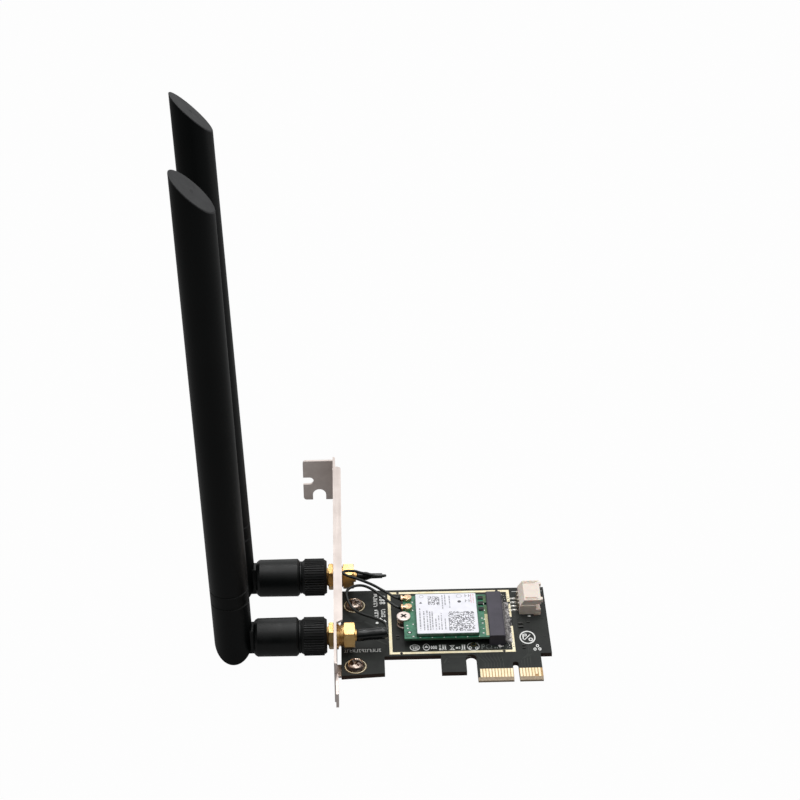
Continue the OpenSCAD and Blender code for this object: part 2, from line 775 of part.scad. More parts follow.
module header_pins() {
  t = header_pin_t;
  color([0.84, 0.82, 0.78]) board_frame() translate([header_x, header_y, 0]) {
    for (i = [0:header_ways - 1]) translate([0, header_pin_y(i) + t / 2, 0])
      rotate([90, 0, 0]) linear_extrude(t) polygon([
        [-header_tail_l, 0], [-0.45, 0], [-0.1, header_pin_z - t / 2],
        [header_l - 0.9, header_pin_z - t / 2], [header_l - 0.6, header_pin_z],
        [header_l - 0.9, header_pin_z + t / 2], [-0.45, header_pin_z + t / 2],
        [-0.8, 0.6 * t], [-header_tail_l, 0.6 * t]]);
    for (s = [-1, 1])
      block([header_l - 2.4, header_l - 0.2],
        [min(s * header_w / 2, s * (header_w / 2 + header_latch)),
          max(s * header_w / 2, s * (header_w / 2 + header_latch))], [0, header_latch / 2]);
  }
}

module board_components() {
  color([0.55, 0.47, 0.38]) board_frame() for (c = chips) translate([c[0], c[1], 0])
    block([-c[2] / 2, c[2] / 2], [-c[3] / 2, c[3] / 2], [0, 0.55 * c[3] + 0.1]);
}

module jack_barrel(low, high) {
  difference() {
    translate([0, 0, low]) cylinder(d = jack_d, h = high - low);
    translate([jack_d / 2 - jack_flat, -jack_d, low - cut])
      cube([jack_d, 2 * jack_d, high - low + 2 * cut]);
  }
}

module jack(i) {
  color([0.86, 0.70, 0.40]) port(i) outward() difference() {
    union() {
      jack_barrel(-washer_t, jack_reach);
      translate([0, 0, -hex_x]) cylinder(d = jack_d + 1, h = hex_x - washer_t);
      translate([0, 0, -hex_end]) rotate(hex_turn) hexagon(hex_l);
      translate([0, 0, -hex_end - collar_t]) cylinder(d = hex_w - 3, h = collar_t);
      translate([0, 0, -hex_end - collar_t - ferrule_l]) cylinder(d = ferrule_d, h = ferrule_l);
    }
    translate([0, 0, jack_reach - bore_depth]) cylinder(d = jack_bore_d, h = bore_depth + cut);
  }
}

module jack_insulator(i) {
  color([0.95, 0.95, 0.93]) port(i) outward()
    translate([0, 0, jack_reach - bore_depth]) {
      cylinder(d = jack_bore_d - 0.02, h = bore_depth - pilot_l - 0.5);
      cylinder(d = 0.9, h = bore_depth - 0.8);
    }
}

module jack_nut(i) {
  color([0.86, 0.70, 0.40]) port(i) outward() translate([0, 0, sheet_t]) difference() {
    rotate(hex_turn + 8) hexagon(nut_t);
    translate([0, 0, -cut]) cylinder(d = jack_d + 2 * fit, h = nut_t + 2 * cut);
  }
}

module lock_washer(i) {
  color([0.80, 0.66, 0.40]) port(i) outward() translate([0, 0, -washer_t]) difference() {
    ring(washer_d, jack_d + 0.3, washer_t);
    for (a = [0:30:330]) rotate(a)
      translate([washer_d / 2 - 0.7, -0.3, -cut]) cube([1, 0.6, washer_t + 2 * cut]);
  }
}

// Tube shrunk over the ferrule and the start of the cable, with rounded shoulders
module shrink_sleeve(i) {
  r1 = shrink_ds[i] / 2;
  r2 = coax_d / 2 + shrink_wall;
  tail = shrink_l * shrink_tails[i];
  color([0.10, 0.11, 0.11]) port(i) outward()
    translate([0, 0, -route_start_x]) difference() {
      rotate_extrude() polygon([[0, 0], [r2, 0], [r2 + 0.05, tail], [r1 - 0.3, tail + 0.9],
        [r1, tail + 1.6], [r1 - 0.1, (tail + shrink_l) / 2], [r1, shrink_l - 0.9],
        [r1 - 0.15, shrink_l], [0, shrink_l]]);
      translate([0, 0, shrink_l + sleeve_seat - ferrule_l]) cylinder(d = ferrule_d, h = ferrule_l);
    }
}

function route_end(i) = [ufl_x - plug_tail_l - route_start_x, ufl_ys[1 - i] - jack_ys[i],
  plug_axis_z - jack_z];

// Frames that turn as little as possible from ring to ring
function unit(v) = v / norm(v);
function tangent(p, i) = unit(i == 0 ? [1, 0, 0]
  : i == len(p) - 1 ? [1, 0, 0] : unit(p[i + 1] - p[i]) + unit(p[i] - p[i - 1]));
function side_of(p, i, s) = i == 0 ? s
  : let (q = side_of(p, i - 1, s), t = tangent(p, i)) unit(q - (q * t) * t);
function ring_points(p, i, r, n) =
  let (t = tangent(p, i), u = side_of(p, i, [0, 1, 0]), v = cross(t, u))
  [for (k = [0:n - 1]) p[i] + r * (cos(360 * k / n) * u + sin(360 * k / n) * v)];

module tube(p, d, n = 8) {
  last = (len(p) - 1) * n;
  points = [for (i = [0:len(p) - 1]) each ring_points(p, i, d / 2, n)];
  sides = [for (i = [0:len(p) - 2], k = [0:n - 1])
    [i * n + k, (i + 1) * n + k, (i + 1) * n + (k + 1) % n, i * n + (k + 1) % n]];
  start = [for (k = [0:n - 1]) k];
  end = [for (k = [n - 1:-1:0]) last + k];
  polyhedron(points, concat(sides, [start, end]));
}

module coax(i, route) {
  color([0.14, 0.19, 0.18]) port(i) translate([route_start_x, 0, 0])
    tube(concat(route, [route_end(i)]), coax_d);
}

module plug(i) {
  color([0.90, 0.74, 0.42]) board_frame()
    translate([ufl_x, ufl_ys[1 - i], module_top + plug_lift]) difference() {
      union() {
        cylinder(d = plug_d, h = plug_h);
        translate([-plug_tail_l, 0, plug_h / 2]) rotate([0, 90, 0])
          cylinder(d = plug_tail_d, h = plug_tail_l);
        translate([-plug_tail_l + crimp_x, -plug_d / 2 + crimp_inset, crimp_inset / 2])
          cube([crimp_l, plug_d - 2 * crimp_inset, plug_h - crimp_inset]);
      }
      translate([0, 0, -cut])
        cylinder(d = ufl_d + 2 * plug_gap, h = ufl_h - plug_lift + plug_gap + cut);
    }
}

// Plug of an antenna: a collar that the coupling nut pulls on, and a spool that the
// swivel sleeve turns on
module antenna_plug(i) {
  face = jack_reach + face_gap;
  color([0.86, 0.70, 0.40]) port(i) outward() difference() {
    union() {
      translate([0, 0, face - pilot_l]) cylinder(d = jack_bore_d - 2 * fit, h = pilot_l + cut);
      translate([0, 0, face]) cylinder(d = collar_d, h = collar_t + 0.4);
      translate([0, 0, face]) cylinder(d = neck_d, h = sleeve_x + sleeve_lip - face + 0.2);
      translate([0, 0, sleeve_x + sleeve_lip + fit]) cylinder(d = spool_d, h = spool_l);
    }
    translate([0, 0, face - pilot_l - cut]) cylinder(d = 2.4, h = pilot_l + cut);
    translate([0, 0, face - pilot_l - cut]) cylinder(d = 1.0, h = pilot_l + 1.2);
  }
}

function rib_outline(r, h, n) = [for (k = [0:n - 1], s = [0:3])
  let (a = 360 * (k + s / 4) / n) (s < 2 ? r : r - h) * [cos(a), sin(a)]];

module coupling_nut(i) {
  r = coupling_d / 2;
  bevel = 0.9;
  chamber = coupling_l - lip_t;
  color([0.09, 0.10, 0.10]) port(i) outward() translate([0, 0, coupling_x]) difference() {
    union() {
      rotate_extrude() polygon([[0, 0], [r - bevel, 0], [r - rib_h, bevel],
        [r - rib_h, coupling_l - bevel], [r - bevel, coupling_l], [0, coupling_l]]);
      translate([0, 0, bevel]) linear_extrude(coupling_l - 2 * bevel)
        polygon(rib_outline(r, rib_h, coupling_ribs));
    }
    translate([0, 0, -cut]) cylinder(d = jack_d + 2 * fit, h = chamber + cut);
    translate([0, 0, -cut]) cylinder(d1 = jack_d + 1, d2 = jack_d, h = 0.6 + cut);
    translate([0, 0, chamber - cut]) cylinder(d = neck_d + 2 * fit, h = lip_t + 2 * cut);
  }
}

module swivel_sleeve(i) {
  r = sleeve_d / 2;
  reach = pivot_x - sleeve_end;
  color([0.10, 0.10, 0.11]) swivelled(i) outward() difference() {
    union() {
      translate([0, 0, sleeve_x]) rotate_extrude() polygon([[0, 0], [r - 0.7, 0], [r, 0.7],
        [r - 0.1, sleeve_l - 1.3], [r - 0.5, sleeve_l - 0.6], [r - 1.2, sleeve_l], [0, sleeve_l]]);
      translate([0, 0, pivot_x]) rotate([90, 0, 0])
        translate([0, 0, -tongue_t / 2]) cylinder(r = tongue_r, h = tongue_t);
      translate([-tongue_r, -tongue_t / 2, sleeve_end - cut])
        cube([2 * tongue_r, tongue_t, reach + cut]);
    }
    translate([0, 0, pivot_x]) rotate([90, 0, 0])
      translate([0, 0, -tongue_t]) cylinder(d = pin_d + 2 * fit, h = 2 * tongue_t);
    translate([0, 0, sleeve_x - cut]) cylinder(d = neck_d + 2 * fit, h = sleeve_lip + 2 * cut);
    translate([0, 0, sleeve_x + sleeve_lip]) cylinder(d = spool_d + 2 * fit, h = spool_l + 2 * fit);
  }
}

module hinge_pin(i) {
  l = whip_d - 1.6;
  color([0.75, 0.75, 0.74]) whip_frame(i) rotate([90, 0, 0])
    translate([0, 0, -l / 2]) cylinder(d = pin_d, h = l);
}

module slot_shape(t) {
  r = slot_r;
  rotate([90, 0, 0]) translate([0, 0, -t / 2]) {
    cylinder(r = r, h = t);
    translate([0, -whip_d, 0]) cube([whip_d, whip_d + r, t]);
    translate([-r, -whip_d, 0]) cube([whip_d, whip_d, t]);
  }
}

// Lower end of a whip: two cheeks round the tongue, a round end about the hinge pin
module knuckle_base(i) {
  r = whip_d / 2;
  l = whip_d - 1.6;
  color([0.09, 0.09, 0.10]) whip_frame(i) difference() {
    union() {
      sphere(r = r);
      cylinder(r = r, h = base_h - 0.3);
      translate([0, 0, base_h - 0.3]) cylinder(r1 = r, r2 = r - 0.3, h = 0.3);
      cylinder(r = r - radome_wall - 0.6, h = base_h + spigot_h);
    }
    slot_shape(tongue_t + 2 * tongue_gap);
    rotate([90, 0, 0]) translate([0, 0, -l / 2]) cylinder(d = pin_d + 0.02, h = l);
    translate([0, 0, slot_r - cut]) cylinder(d = radiator_d + 1.4, h = base_h);
  }
}

module collar_ring(i) {
  r = whip_d / 2;
  color([0.10, 0.10, 0.11]) whip_frame(i) translate([0, 0, base_h + spigot_fit])
    difference() {
      union() {
        translate([0, 0, 0.3]) cylinder(r = r, h = collar_h - 0.6);
        cylinder(r1 = r - 0.3, r2 = r, h = 0.3);
        translate([0, 0, collar_h - 0.3]) cylinder(r1 = r, r2 = r - 0.3, h = 0.3);
        cylinder(r = r - radome_wall - 0.05, h = collar_h + 2 * spigot_h);
      }
      translate([0, 0, -cut]) cylinder(r = r - radome_wall - 0.6 + spigot_fit, h = spigot_h + 2 * cut);
      translate([0, 0, -cut]) cylinder(d = choke_d + 0.6, h = collar_h + 3 * spigot_h);
    }
}

module tip_cut() {
  rotate([0, tip_slant, 0]) translate([-2 * whip_d, -2 * whip_d, 0]) cube(4 * whip_d);
}

module radome(i) {
  r = whip_d / 2;
  low = base_h + collar_h + 2 * spigot_fit;
  color([0.07, 0.08, 0.08]) whip_frame(i) difference() {
    union() {
      translate([0, 0, low]) cylinder(r1 = r - 0.3, r2 = r, h = 0.3);
      translate([0, 0, low + 0.3]) cylinder(r = r, h = whip_l - low + r);
    }
    translate([0, 0, whip_l]) tip_cut();
    difference() {
      translate([0, 0, low - cut]) cylinder(r = r - radome_wall, h = whip_l - low + r);
      translate([0, 0, whip_l - radome_wall * 1.4]) tip_cut();
    }
  }
}

module radiator(i) {
  low = slot_r + 0.6;
  color([0.80, 0.64, 0.38]) whip_frame(i) {
    translate([0, 0, low]) cylinder(d = radiator_d, h = whip_l * 0.86 - low);
    translate([0, 0, base_h + spigot_h + 1]) cylinder(d = choke_d, h = whip_l * 0.3);
  }
}

module front_jack() { jack(0); }
module front_jack_insulator() { jack_insulator(0); }
module front_jack_nut() { jack_nut(0); }
module front_lock_washer() { lock_washer(0); }
module front_shrink_sleeve() { shrink_sleeve(0); }
module front_coax() { coax(0, front_route); }
module front_plug() { plug(0); }
module front_antenna_plug() { antenna_plug(0); }
module front_coupling_nut() { coupling_nut(0); }
module front_swivel_sleeve() { swivel_sleeve(0); }
module front_hinge_pin() { hinge_pin(0); }
module front_knuckle_base() { knuckle_base(0); }
module front_collar_ring() { collar_ring(0); }
module front_radome() { radome(0); }
module front_radiator() { radiator(0); }
module rear_jack() { jack(1); }
module rear_jack_insulator() { jack_insulator(1); }
module rear_jack_nut() { jack_nut(1); }
module rear_lock_washer() { lock_washer(1); }
module rear_shrink_sleeve() { shrink_sleeve(1); }
module rear_coax() { coax(1, rear_route); }
module rear_plug() { plug(1); }
module rear_antenna_plug() { antenna_plug(1); }
module rear_coupling_nut() { coupling_nut(1); }
module rear_swivel_sleeve() { swivel_sleeve(1); }
module rear_hinge_pin() { hinge_pin(1); }
module rear_knuckle_base() { knuckle_base(1); }
module rear_collar_ring() { collar_ring(1); }
module rear_radome() { radome(1); }
module rear_radiator() { radiator(1); }

circuit_board();
edge_contacts();
guard_trace();
screw_pads();
bracket();
bracket_screws();
module_socket();
socket_contacts();
module_standoff();
module_screw();
module_board();
module_shield();
module_label();
module_jacks();
module_chips();
module_contacts();
cable_header();
header_pins();
board_components();
front_jack();
front_jack_insulator();
front_jack_nut();
front_lock_washer();
front_shrink_sleeve();
front_coax();
front_plug();
rear_jack();
rear_jack_insulator();
rear_jack_nut();
rear_lock_washer();
rear_shrink_sleeve();
rear_coax();
rear_plug();
front_antenna_plug();
front_coupling_nut();
front_swivel_sleeve();
front_hinge_pin();
front_knuckle_base();
front_collar_ring();
front_radome();
front_radiator();
rear_antenna_plug();
rear_coupling_nut();
rear_swivel_sleeve();
rear_hinge_pin();
rear_knuckle_base();
rear_collar_ring();
rear_radome();
rear_radiator();
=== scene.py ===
# A radio card for an expansion slot: black circuit board on a full-height sheet-metal
# bracket, green plug-in radio module, ivory cable header, gold-plated bulkhead jacks
# with thin pigtails, and two black rod antennas on tilt-and-swivel knuckles.
import math

import bmesh
import bpy
from mathutils import Matrix, Vector


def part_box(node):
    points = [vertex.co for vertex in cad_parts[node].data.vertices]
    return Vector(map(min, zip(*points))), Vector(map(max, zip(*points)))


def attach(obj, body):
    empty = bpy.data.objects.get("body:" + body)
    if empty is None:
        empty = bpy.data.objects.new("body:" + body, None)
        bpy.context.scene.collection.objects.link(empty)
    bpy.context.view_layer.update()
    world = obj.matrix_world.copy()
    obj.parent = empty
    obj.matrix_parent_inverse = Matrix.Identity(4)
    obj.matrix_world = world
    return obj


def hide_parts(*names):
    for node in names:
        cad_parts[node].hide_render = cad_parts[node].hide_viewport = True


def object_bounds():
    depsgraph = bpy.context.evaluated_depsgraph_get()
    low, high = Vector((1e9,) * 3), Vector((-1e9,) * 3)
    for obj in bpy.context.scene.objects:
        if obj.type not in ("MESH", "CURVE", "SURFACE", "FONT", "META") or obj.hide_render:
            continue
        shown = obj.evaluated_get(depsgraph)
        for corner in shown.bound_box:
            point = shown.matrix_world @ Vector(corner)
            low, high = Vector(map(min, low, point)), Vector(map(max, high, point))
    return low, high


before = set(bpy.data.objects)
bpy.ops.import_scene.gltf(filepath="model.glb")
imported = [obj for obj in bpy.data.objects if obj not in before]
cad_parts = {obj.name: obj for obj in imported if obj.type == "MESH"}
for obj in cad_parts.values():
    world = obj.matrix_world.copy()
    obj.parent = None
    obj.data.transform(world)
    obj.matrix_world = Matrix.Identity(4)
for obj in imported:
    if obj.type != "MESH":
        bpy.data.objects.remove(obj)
cad_low, cad_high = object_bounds()

# Camera: the photograph looks down on the component side at 34 degrees, from in front
# of the edge contacts and level with the whips, with a long lens.
camera = bpy.data.objects.new("camera", bpy.data.cameras.new("camera"))
bpy.context.scene.collection.objects.link(camera)
camera.data.sensor_width = 36.0
camera.data.lens = 91.907
camera.matrix_world = (
    Matrix.Translation((-0.052599, -0.498055, 0.445457))
    @ Matrix.Rotation(math.radians(-1.6955), 4, "Z")
    @ Matrix.Rotation(math.radians(90 - 33.8934), 4, "X")
    @ Matrix.Rotation(math.radians(-0.1778), 4, "Z")
)
bpy.context.scene.camera = camera

# Studio: a wide white paper sheet under the card and plain light all round. The floor
# shows white to the camera and keeps a faint shadow of the card.
bpy.context.scene.view_settings.view_transform = "Standard"


def add_node(tree, kind, operation=None, fixed=()):
    """A shader node of that kind, with its (input, value) pairs set."""
    node = tree.nodes.new("ShaderNode" + kind)
    if operation:
        node.operation = operation
    for socket, value in fixed:
        node.inputs[socket].default_value = value
    return node


def wire(tree, *pairs):
    """Joins pairs of an output and an input."""
    for source, target in pairs:
        tree.links.new(source, target)


floor_gap = 0.00002
paper = bmesh.new()
bmesh.ops.create_grid(paper, x_segments=1, y_segments=1, size=6.0)
bmesh.ops.translate(paper, verts=paper.verts, vec=(0, 0, cad_low.z - floor_gap))
paper_mesh = bpy.data.meshes.new("floor")
paper.to_mesh(paper_mesh)
paper.free()
floor = bpy.data.objects.new("floor", paper_mesh)
bpy.context.scene.collection.objects.link(floor)
paper_look = bpy.data.materials.new("white_paper")
paper_look.use_nodes = True
paper_tree = paper_look.node_tree
paper_tree.nodes.clear()
paper_out = add_node(paper_tree, "OutputMaterial")
paper_mix = add_node(paper_tree, "MixShader")
paper_matte = add_node(paper_tree, "BsdfDiffuse", fixed=[("Color", (0.2, 0.2, 0.2, 1))])
paper_glow = add_node(paper_tree, "Emission", fixed=[("Color", (1, 1, 1, 1))])
paper_ray = add_node(paper_tree, "LightPath")
paper_shine = add_node(paper_tree, "Math", "MULTIPLY", [(1, 0.16)])
paper_share = add_node(paper_tree, "Math", "MULTIPLY_ADD", [(1, 0.98)])
paper_glass = add_node(paper_tree, "Math", "MAXIMUM")
wire(
    paper_tree,
    (paper_ray.outputs["Is Glossy Ray"], paper_shine.inputs[0]),
    (paper_shine.outputs[0], paper_glass.inputs[0]),
    (paper_ray.outputs["Is Transmission Ray"], paper_glass.inputs[1]),
    (paper_ray.outputs["Is Camera Ray"], paper_share.inputs[0]),
    (paper_glass.outputs[0], paper_share.inputs[2]),
    (paper_share.outputs[0], paper_mix.inputs["Fac"]),
    (paper_matte.outputs[0], paper_mix.inputs[1]),
    (paper_glow.outputs[0], paper_mix.inputs[2]),
    (paper_mix.outputs[0], paper_out.inputs["Surface"]),
)
floor.data.materials.append(paper_look)

surround = bpy.data.worlds.new("surround")
bpy.context.scene.world = surround
surround.use_nodes = True
air = surround.node_tree
air_light = air.nodes["Background"]
air_light.inputs["Color"].default_value = (1, 1, 1, 1)
air_white = add_node(air, "Background", fixed=[("Strength", 1.0), ("Color", (1, 1, 1, 1))])
air_mix = add_node(air, "MixShader")
air_ray = add_node(air, "LightPath")
air_clear = add_node(air, "Math", "MAXIMUM")
air_way = add_node(air, "TexCoord")
air_slope = add_node(air, "VectorMath", "DOT_PRODUCT", [(1, (0.0, 0.5, 0.866))])
air_rise = add_node(air, "MapRange")
air_rise.interpolation_type = "SMOOTHSTEP"
for socket, value in (("From Min", -0.15), ("From Max", 0.85), ("To Min", 0.03), ("To Max", 0.9)):
    air_rise.inputs[socket].default_value = value
wire(
    air,
    (air_way.outputs["Generated"], air_slope.inputs[0]),
    (air_slope.outputs["Value"], air_rise.inputs["Value"]),
    (air_rise.outputs["Result"], air_light.inputs["Strength"]),
    (air_ray.outputs["Is Camera Ray"], air_clear.inputs[0]),
    (air_ray.outputs["Is Transmission Ray"], air_clear.inputs[1]),
    (air_clear.outputs[0], air_mix.inputs["Fac"]),
    (air_light.outputs[0], air_mix.inputs[1]),
    (air_white.outputs[0], air_mix.inputs[2]),
    (air_mix.outputs[0], air.nodes["World Output"].inputs["Surface"]),
)

card_middle = Vector((-0.05, 0.04, 0.03))
for lamp_name, watts, width, depth, spot in (
    ("lamp_above", 3.0, 0.8, 0.6, (0.05, 0.12, 0.85)),
    ("lamp_right", 0.8, 0.3, 0.9, (0.75, 0.25, 0.35)),
    ("lamp_behind", 0.4, 0.07, 0.07, (-0.02, 0.46, 0.74)),
):
    lamp = bpy.data.objects.new(lamp_name, bpy.data.lights.new(lamp_name, "AREA"))
    lamp.data.shape = "RECTANGLE"
    lamp.data.size = width
    lamp.data.size_y = depth
    lamp.data.energy = watts
    lamp.location = spot
    aim = card_middle - lamp.location
    lamp.rotation_euler = aim.to_track_quat("-Z", "Y").to_euler()
    bpy.context.scene.collection.objects.link(lamp)

# Circuit board: 1.6 mm glass-epoxy laminate under a satin black solder mask, routed to
# shape, with its bare edges brown and the bevel of the edge contacts left beige.
# Pieces are drawn in millimetres from the bracket, the contacts' end and the top face.
from_bracket = Matrix.Scale(0.001, 4) @ Matrix.Translation((-58.4, 0, 0.8))


def paint(red, green, blue):
    """A colour of 0 to 255 as the shader wants it."""
    return tuple(
        (c / 255 / 12.92) if c <= 10 else ((c / 255 + 0.055) / 1.055) ** 2.4
        for c in (red, green, blue)
    ) + (1.0,)


def new_finish(name, **settings):
    """An empty finish: its material, node tree and shader, with fixed settings made."""
    made = bpy.data.materials.new(name)
    made.use_nodes = True
    shader = made.node_tree.nodes["Principled BSDF"]
    for socket, value in settings.items():
        shader.inputs[socket.replace("_", " ")].default_value = value
    return made, made.node_tree, shader


def grain(tree, size, detail=3.0, stretch=(1, 1, 1)):
    """Noise with blotches of about that size in metres, drawn out along an axis."""
    where = add_node(tree, "TexCoord")
    lay = add_node(tree, "Mapping", fixed=[("Scale", stretch)])
    noise = add_node(tree, "TexNoise", fixed=[("Scale", 1 / size), ("Detail", detail)])
    wire(
        tree,
        (where.outputs["Object"], lay.inputs["Vector"]),
        (lay.outputs["Vector"], noise.inputs["Vector"]),
    )
    return noise.outputs["Fac"]


def between(tree, share, low, high, start=0.3, end=0.7):
    """A colour that goes from low to high as share goes from start to end."""
    ramp = add_node(tree, "ValToRGB")
    for stop, place, colour in zip(ramp.color_ramp.elements, (start, end), (low, high)):
        stop.position = place
        stop.color = paint(*colour)
    wire(tree, (share, ramp.inputs["Fac"]))
    return ramp.outputs["Color"]


def coat(tree, shader, colour, gloss, rough, relief, depth):
    """A finish's colour, its roughness that follows a noise, and its relief in metres."""
    span = add_node(tree, "MapRange", fixed=[
        ("From Min", 0.3), ("From Max", 0.7), ("To Min", rough[0]), ("To Max", rough[1]),
    ])
    bump = add_node(tree, "Bump", fixed=[("Distance", depth), ("Strength", 1.0)])
    wire(
        tree,
        (colour, shader.inputs["Base Color"]),
        (gloss, span.inputs["Value"]),
        (span.outputs["Result"], shader.inputs["Roughness"]),
        (relief, bump.inputs["Height"]),
        (bump.outputs["Normal"], shader.inputs["Normal"]),
    )


def plain_finish(name, low, high, rough, blotch, fine, depth, **settings):
    """A finish whose colour and gloss drift in blotches, over a fine relief."""
    made, tree, shader = new_finish(name, **settings)
    coat(
        tree, shader, between(tree, grain(tree, blotch), low, high),
        grain(tree, blotch * 0.6), rough, grain(tree, fine, 2.0), depth,
    )
    return made


def dress(finish, *nodes):
    """Gives the CAD nodes a finish."""
    for name in nodes:
        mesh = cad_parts[name].data
        mesh.materials.clear()
        mesh.materials.append(finish)


def within(tree, axis, low, high):
    """1 where a coordinate of the piece lies between two values in metres."""
    where = add_node(tree, "TexCoord")
    split = add_node(tree, "SeparateXYZ")
    offset = add_node(tree, "Math", "SUBTRACT", [(1, (low + high) / 2)])
    near = add_node(tree, "Math", "COMPARE", [(1, 0.0), (2, (high - low) / 2)])
    wire(
        tree,
        (where.outputs["Object"], split.inputs["Vector"]),
        (split.outputs[axis], offset.inputs[0]),
        (offset.outputs[0], near.inputs[0]),
    )
    return near.outputs[0]


def both(tree, one, other):
    """1 where two shares are 1."""
    times = add_node(tree, "Math", "MULTIPLY")
    wire(tree, (one, times.inputs[0]), (other, times.inputs[1]))
    return times.outputs[0]


def over(tree, share, under, top):
    """Lays a colour over another where share is 1."""
    mix = add_node(tree, "Mix")
    mix.data_type = "RGBA"
    wire(tree, (share, mix.inputs["Factor"]), (under, mix.inputs[6]))
    if isinstance(top, tuple):
        mix.inputs[7].default_value = paint(*top)
    else:
        wire(tree, (top, mix.inputs[7]))
    return mix.outputs[2]


board_finish, board_tree, board_shader = new_finish("black_solder_mask", Specular_IOR_Level=0.2)
mask_colour = between(board_tree, grain(board_tree, 0.004), (37, 39, 38), (43, 46, 43))
edge_colour = between(
    board_tree, grain(board_tree, 0.0006, 2.0, (0.2, 0.2, 4.0)), (46, 38, 34), (72, 54, 44)
)
bevel_colour = between(
    board_tree, grain(board_tree, 0.0005, 2.0), (160, 142, 118), (184, 168, 146)
)
bare_colour = between(
    board_tree, grain(board_tree, 0.0008, 2.0), (176, 138, 92), (204, 170, 124)
)
between_faces = within(board_tree, "Z", -0.00079, 0.00079)
at_bevel = both(board_tree, between_faces, within(board_tree, "Y", -0.0002, 0.0013))
at_contacts = both(
    board_tree, within(board_tree, "Y", -0.0002, 0.00535), within(board_tree, "X", -0.0118, 0.0086)
)
board_colour = over(board_tree, at_contacts, mask_colour, bare_colour)
board_colour = over(board_tree, between_faces, board_colour, edge_colour)
board_colour = over(board_tree, at_bevel, board_colour, bevel_colour)
cloth_weave = add_node(board_tree, "Math", "ADD")
for weave_way, weave_socket in (("X", 0), ("Y", 1)):
    thread = add_node(board_tree, "TexWave", fixed=[("Scale", 620.0), ("Distortion", 0.6)])
    thread.wave_type = "BANDS"
    thread.bands_direction = weave_way
    wire(
        board_tree,
        (add_node(board_tree, "TexCoord").outputs["Object"], thread.inputs["Vector"]),
        (thread.outputs["Fac"], cloth_weave.inputs[weave_socket]),
    )
coat(
    board_tree, board_shader, board_colour,
    grain(board_tree, 0.003), (0.45, 0.58), cloth_weave.outputs[0], 0.0000035,
)
dress(board_finish, "circuit_board")

# Copper lines under the mask: from the edge contacts to the socket and from the header
# to the contacts, 0.25 to 0.6 mm wide, standing a little proud under the black lacquer.
sunk, foil_top = -0.002, 0.012


def block(bm, low, high):
    """A box between two corners."""
    low, high = Vector(low), Vector(high)
    size = Matrix.Diagonal((*(high - low), 1))
    bmesh.ops.create_cube(bm, size=1.0, matrix=Matrix.Translation((low + high) / 2) @ size)


def strip(bm, path, width, bottom, top):
    """A flat line of that width through the path's points, with round joints."""
    for a, b in zip(path, path[1:]):
        a, b = Vector((*a, 0)), Vector((*b, 0))
        along = b - a
        turn = Matrix.Rotation(math.atan2(along.y, along.x), 4, "Z")
        middle = Matrix.Translation((*((a + b) / 2).xy, (bottom + top) / 2))
        size = Matrix.Diagonal((along.length, width, top - bottom, 1))
        bmesh.ops.create_cube(bm, size=1.0, matrix=middle @ turn @ size)
    for x, y in path[1:-1]:
        disc(bm, x, y, width / 2, bottom, top, 8)


def disc(bm, x, y, radius, bottom, top, steps=24):
    """An upright round plate."""
    bmesh.ops.create_cone(
        bm, cap_ends=True, segments=steps, radius1=radius, radius2=radius,
        depth=top - bottom, matrix=Matrix.Translation((x, y, (bottom + top) / 2)),
    )


def add_piece(name, bm, body, finishes, nodes=(), place=from_bracket, sharp=30):
    """Ends a piece: set in place in metres, faces out, smooth but for its sharp edges."""
    bmesh.ops.transform(bm, matrix=place, verts=bm.verts)
    bmesh.ops.recalc_face_normals(bm, faces=bm.faces)
    for face in bm.faces:
        face.smooth = True
    for edge in bm.edges:
        soft = len(edge.link_faces) == 2 and edge.calc_face_angle(0.0) < math.radians(sharp)
        edge.smooth = soft and all(len(face.verts) < 5 for face in edge.link_faces)
    mesh = bpy.data.meshes.new(name)
    bm.to_mesh(mesh)
    bm.free()
    for finish in finishes if isinstance(finishes, (list, tuple)) else [finishes]:
        mesh.materials.append(finish)
    piece = bpy.data.objects.new(name, mesh)
    bpy.context.scene.collection.objects.link(piece)
    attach(piece, body)
    if nodes:
        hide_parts(*nodes)
    return piece


copper_finish = plain_finish(
    "masked_copper", (41, 44, 42), (50, 53, 49), (0.3, 0.42), 0.003, 0.0002, 0.000002,
    Specular_IOR_Level=0.25,
)
copper = bmesh.new()
for k in range(7):
    x = 48.4 + k
    aside = x - 2.2 + 0.3 * k
    strip(copper, [(x, 5.6), (x, 8.6), (aside, 11.6), (aside, 12.7)], 0.3, sunk, foil_top)
for k in range(4):
    x, aside = 60.4 + k, 63.2 + 0.55 * k
    line = [(x, 5.6), (x, 9.4 + 0.6 * k), (aside, 12.6), (aside, 17.0 - k)]
    strip(copper, line, 0.25, sunk, foil_top)
for k in range(3):
    y, aside = 41.2 - 2.1 * k, 60.2 - 0.45 * k
    line = [(60.9, y), (aside, y - 2.2), (aside, 23.5 - k), (60.9, 22.4 - k)]
    strip(copper, line, 0.28, sunk, foil_top)
strip(copper, [(2.4, 30.6), (9.0, 30.6), (13.6, 27.2), (16.4, 27.2)], 0.6, sunk, foil_top)
strip(copper, [(2.4, 21.6), (12.2, 21.6), (16.4, 18.6)], 0.6, sunk, foil_top)
strip(copper, [(18.9, 43.4), (56.8, 43.0)], 0.4, sunk, foil_top)
strip(copper, [(35.0, 8.4), (36.2, 11.4), (44.0, 11.4)], 0.4, sunk, foil_top)
add_piece("board_copper_lines", copper, "card", copper_finish)

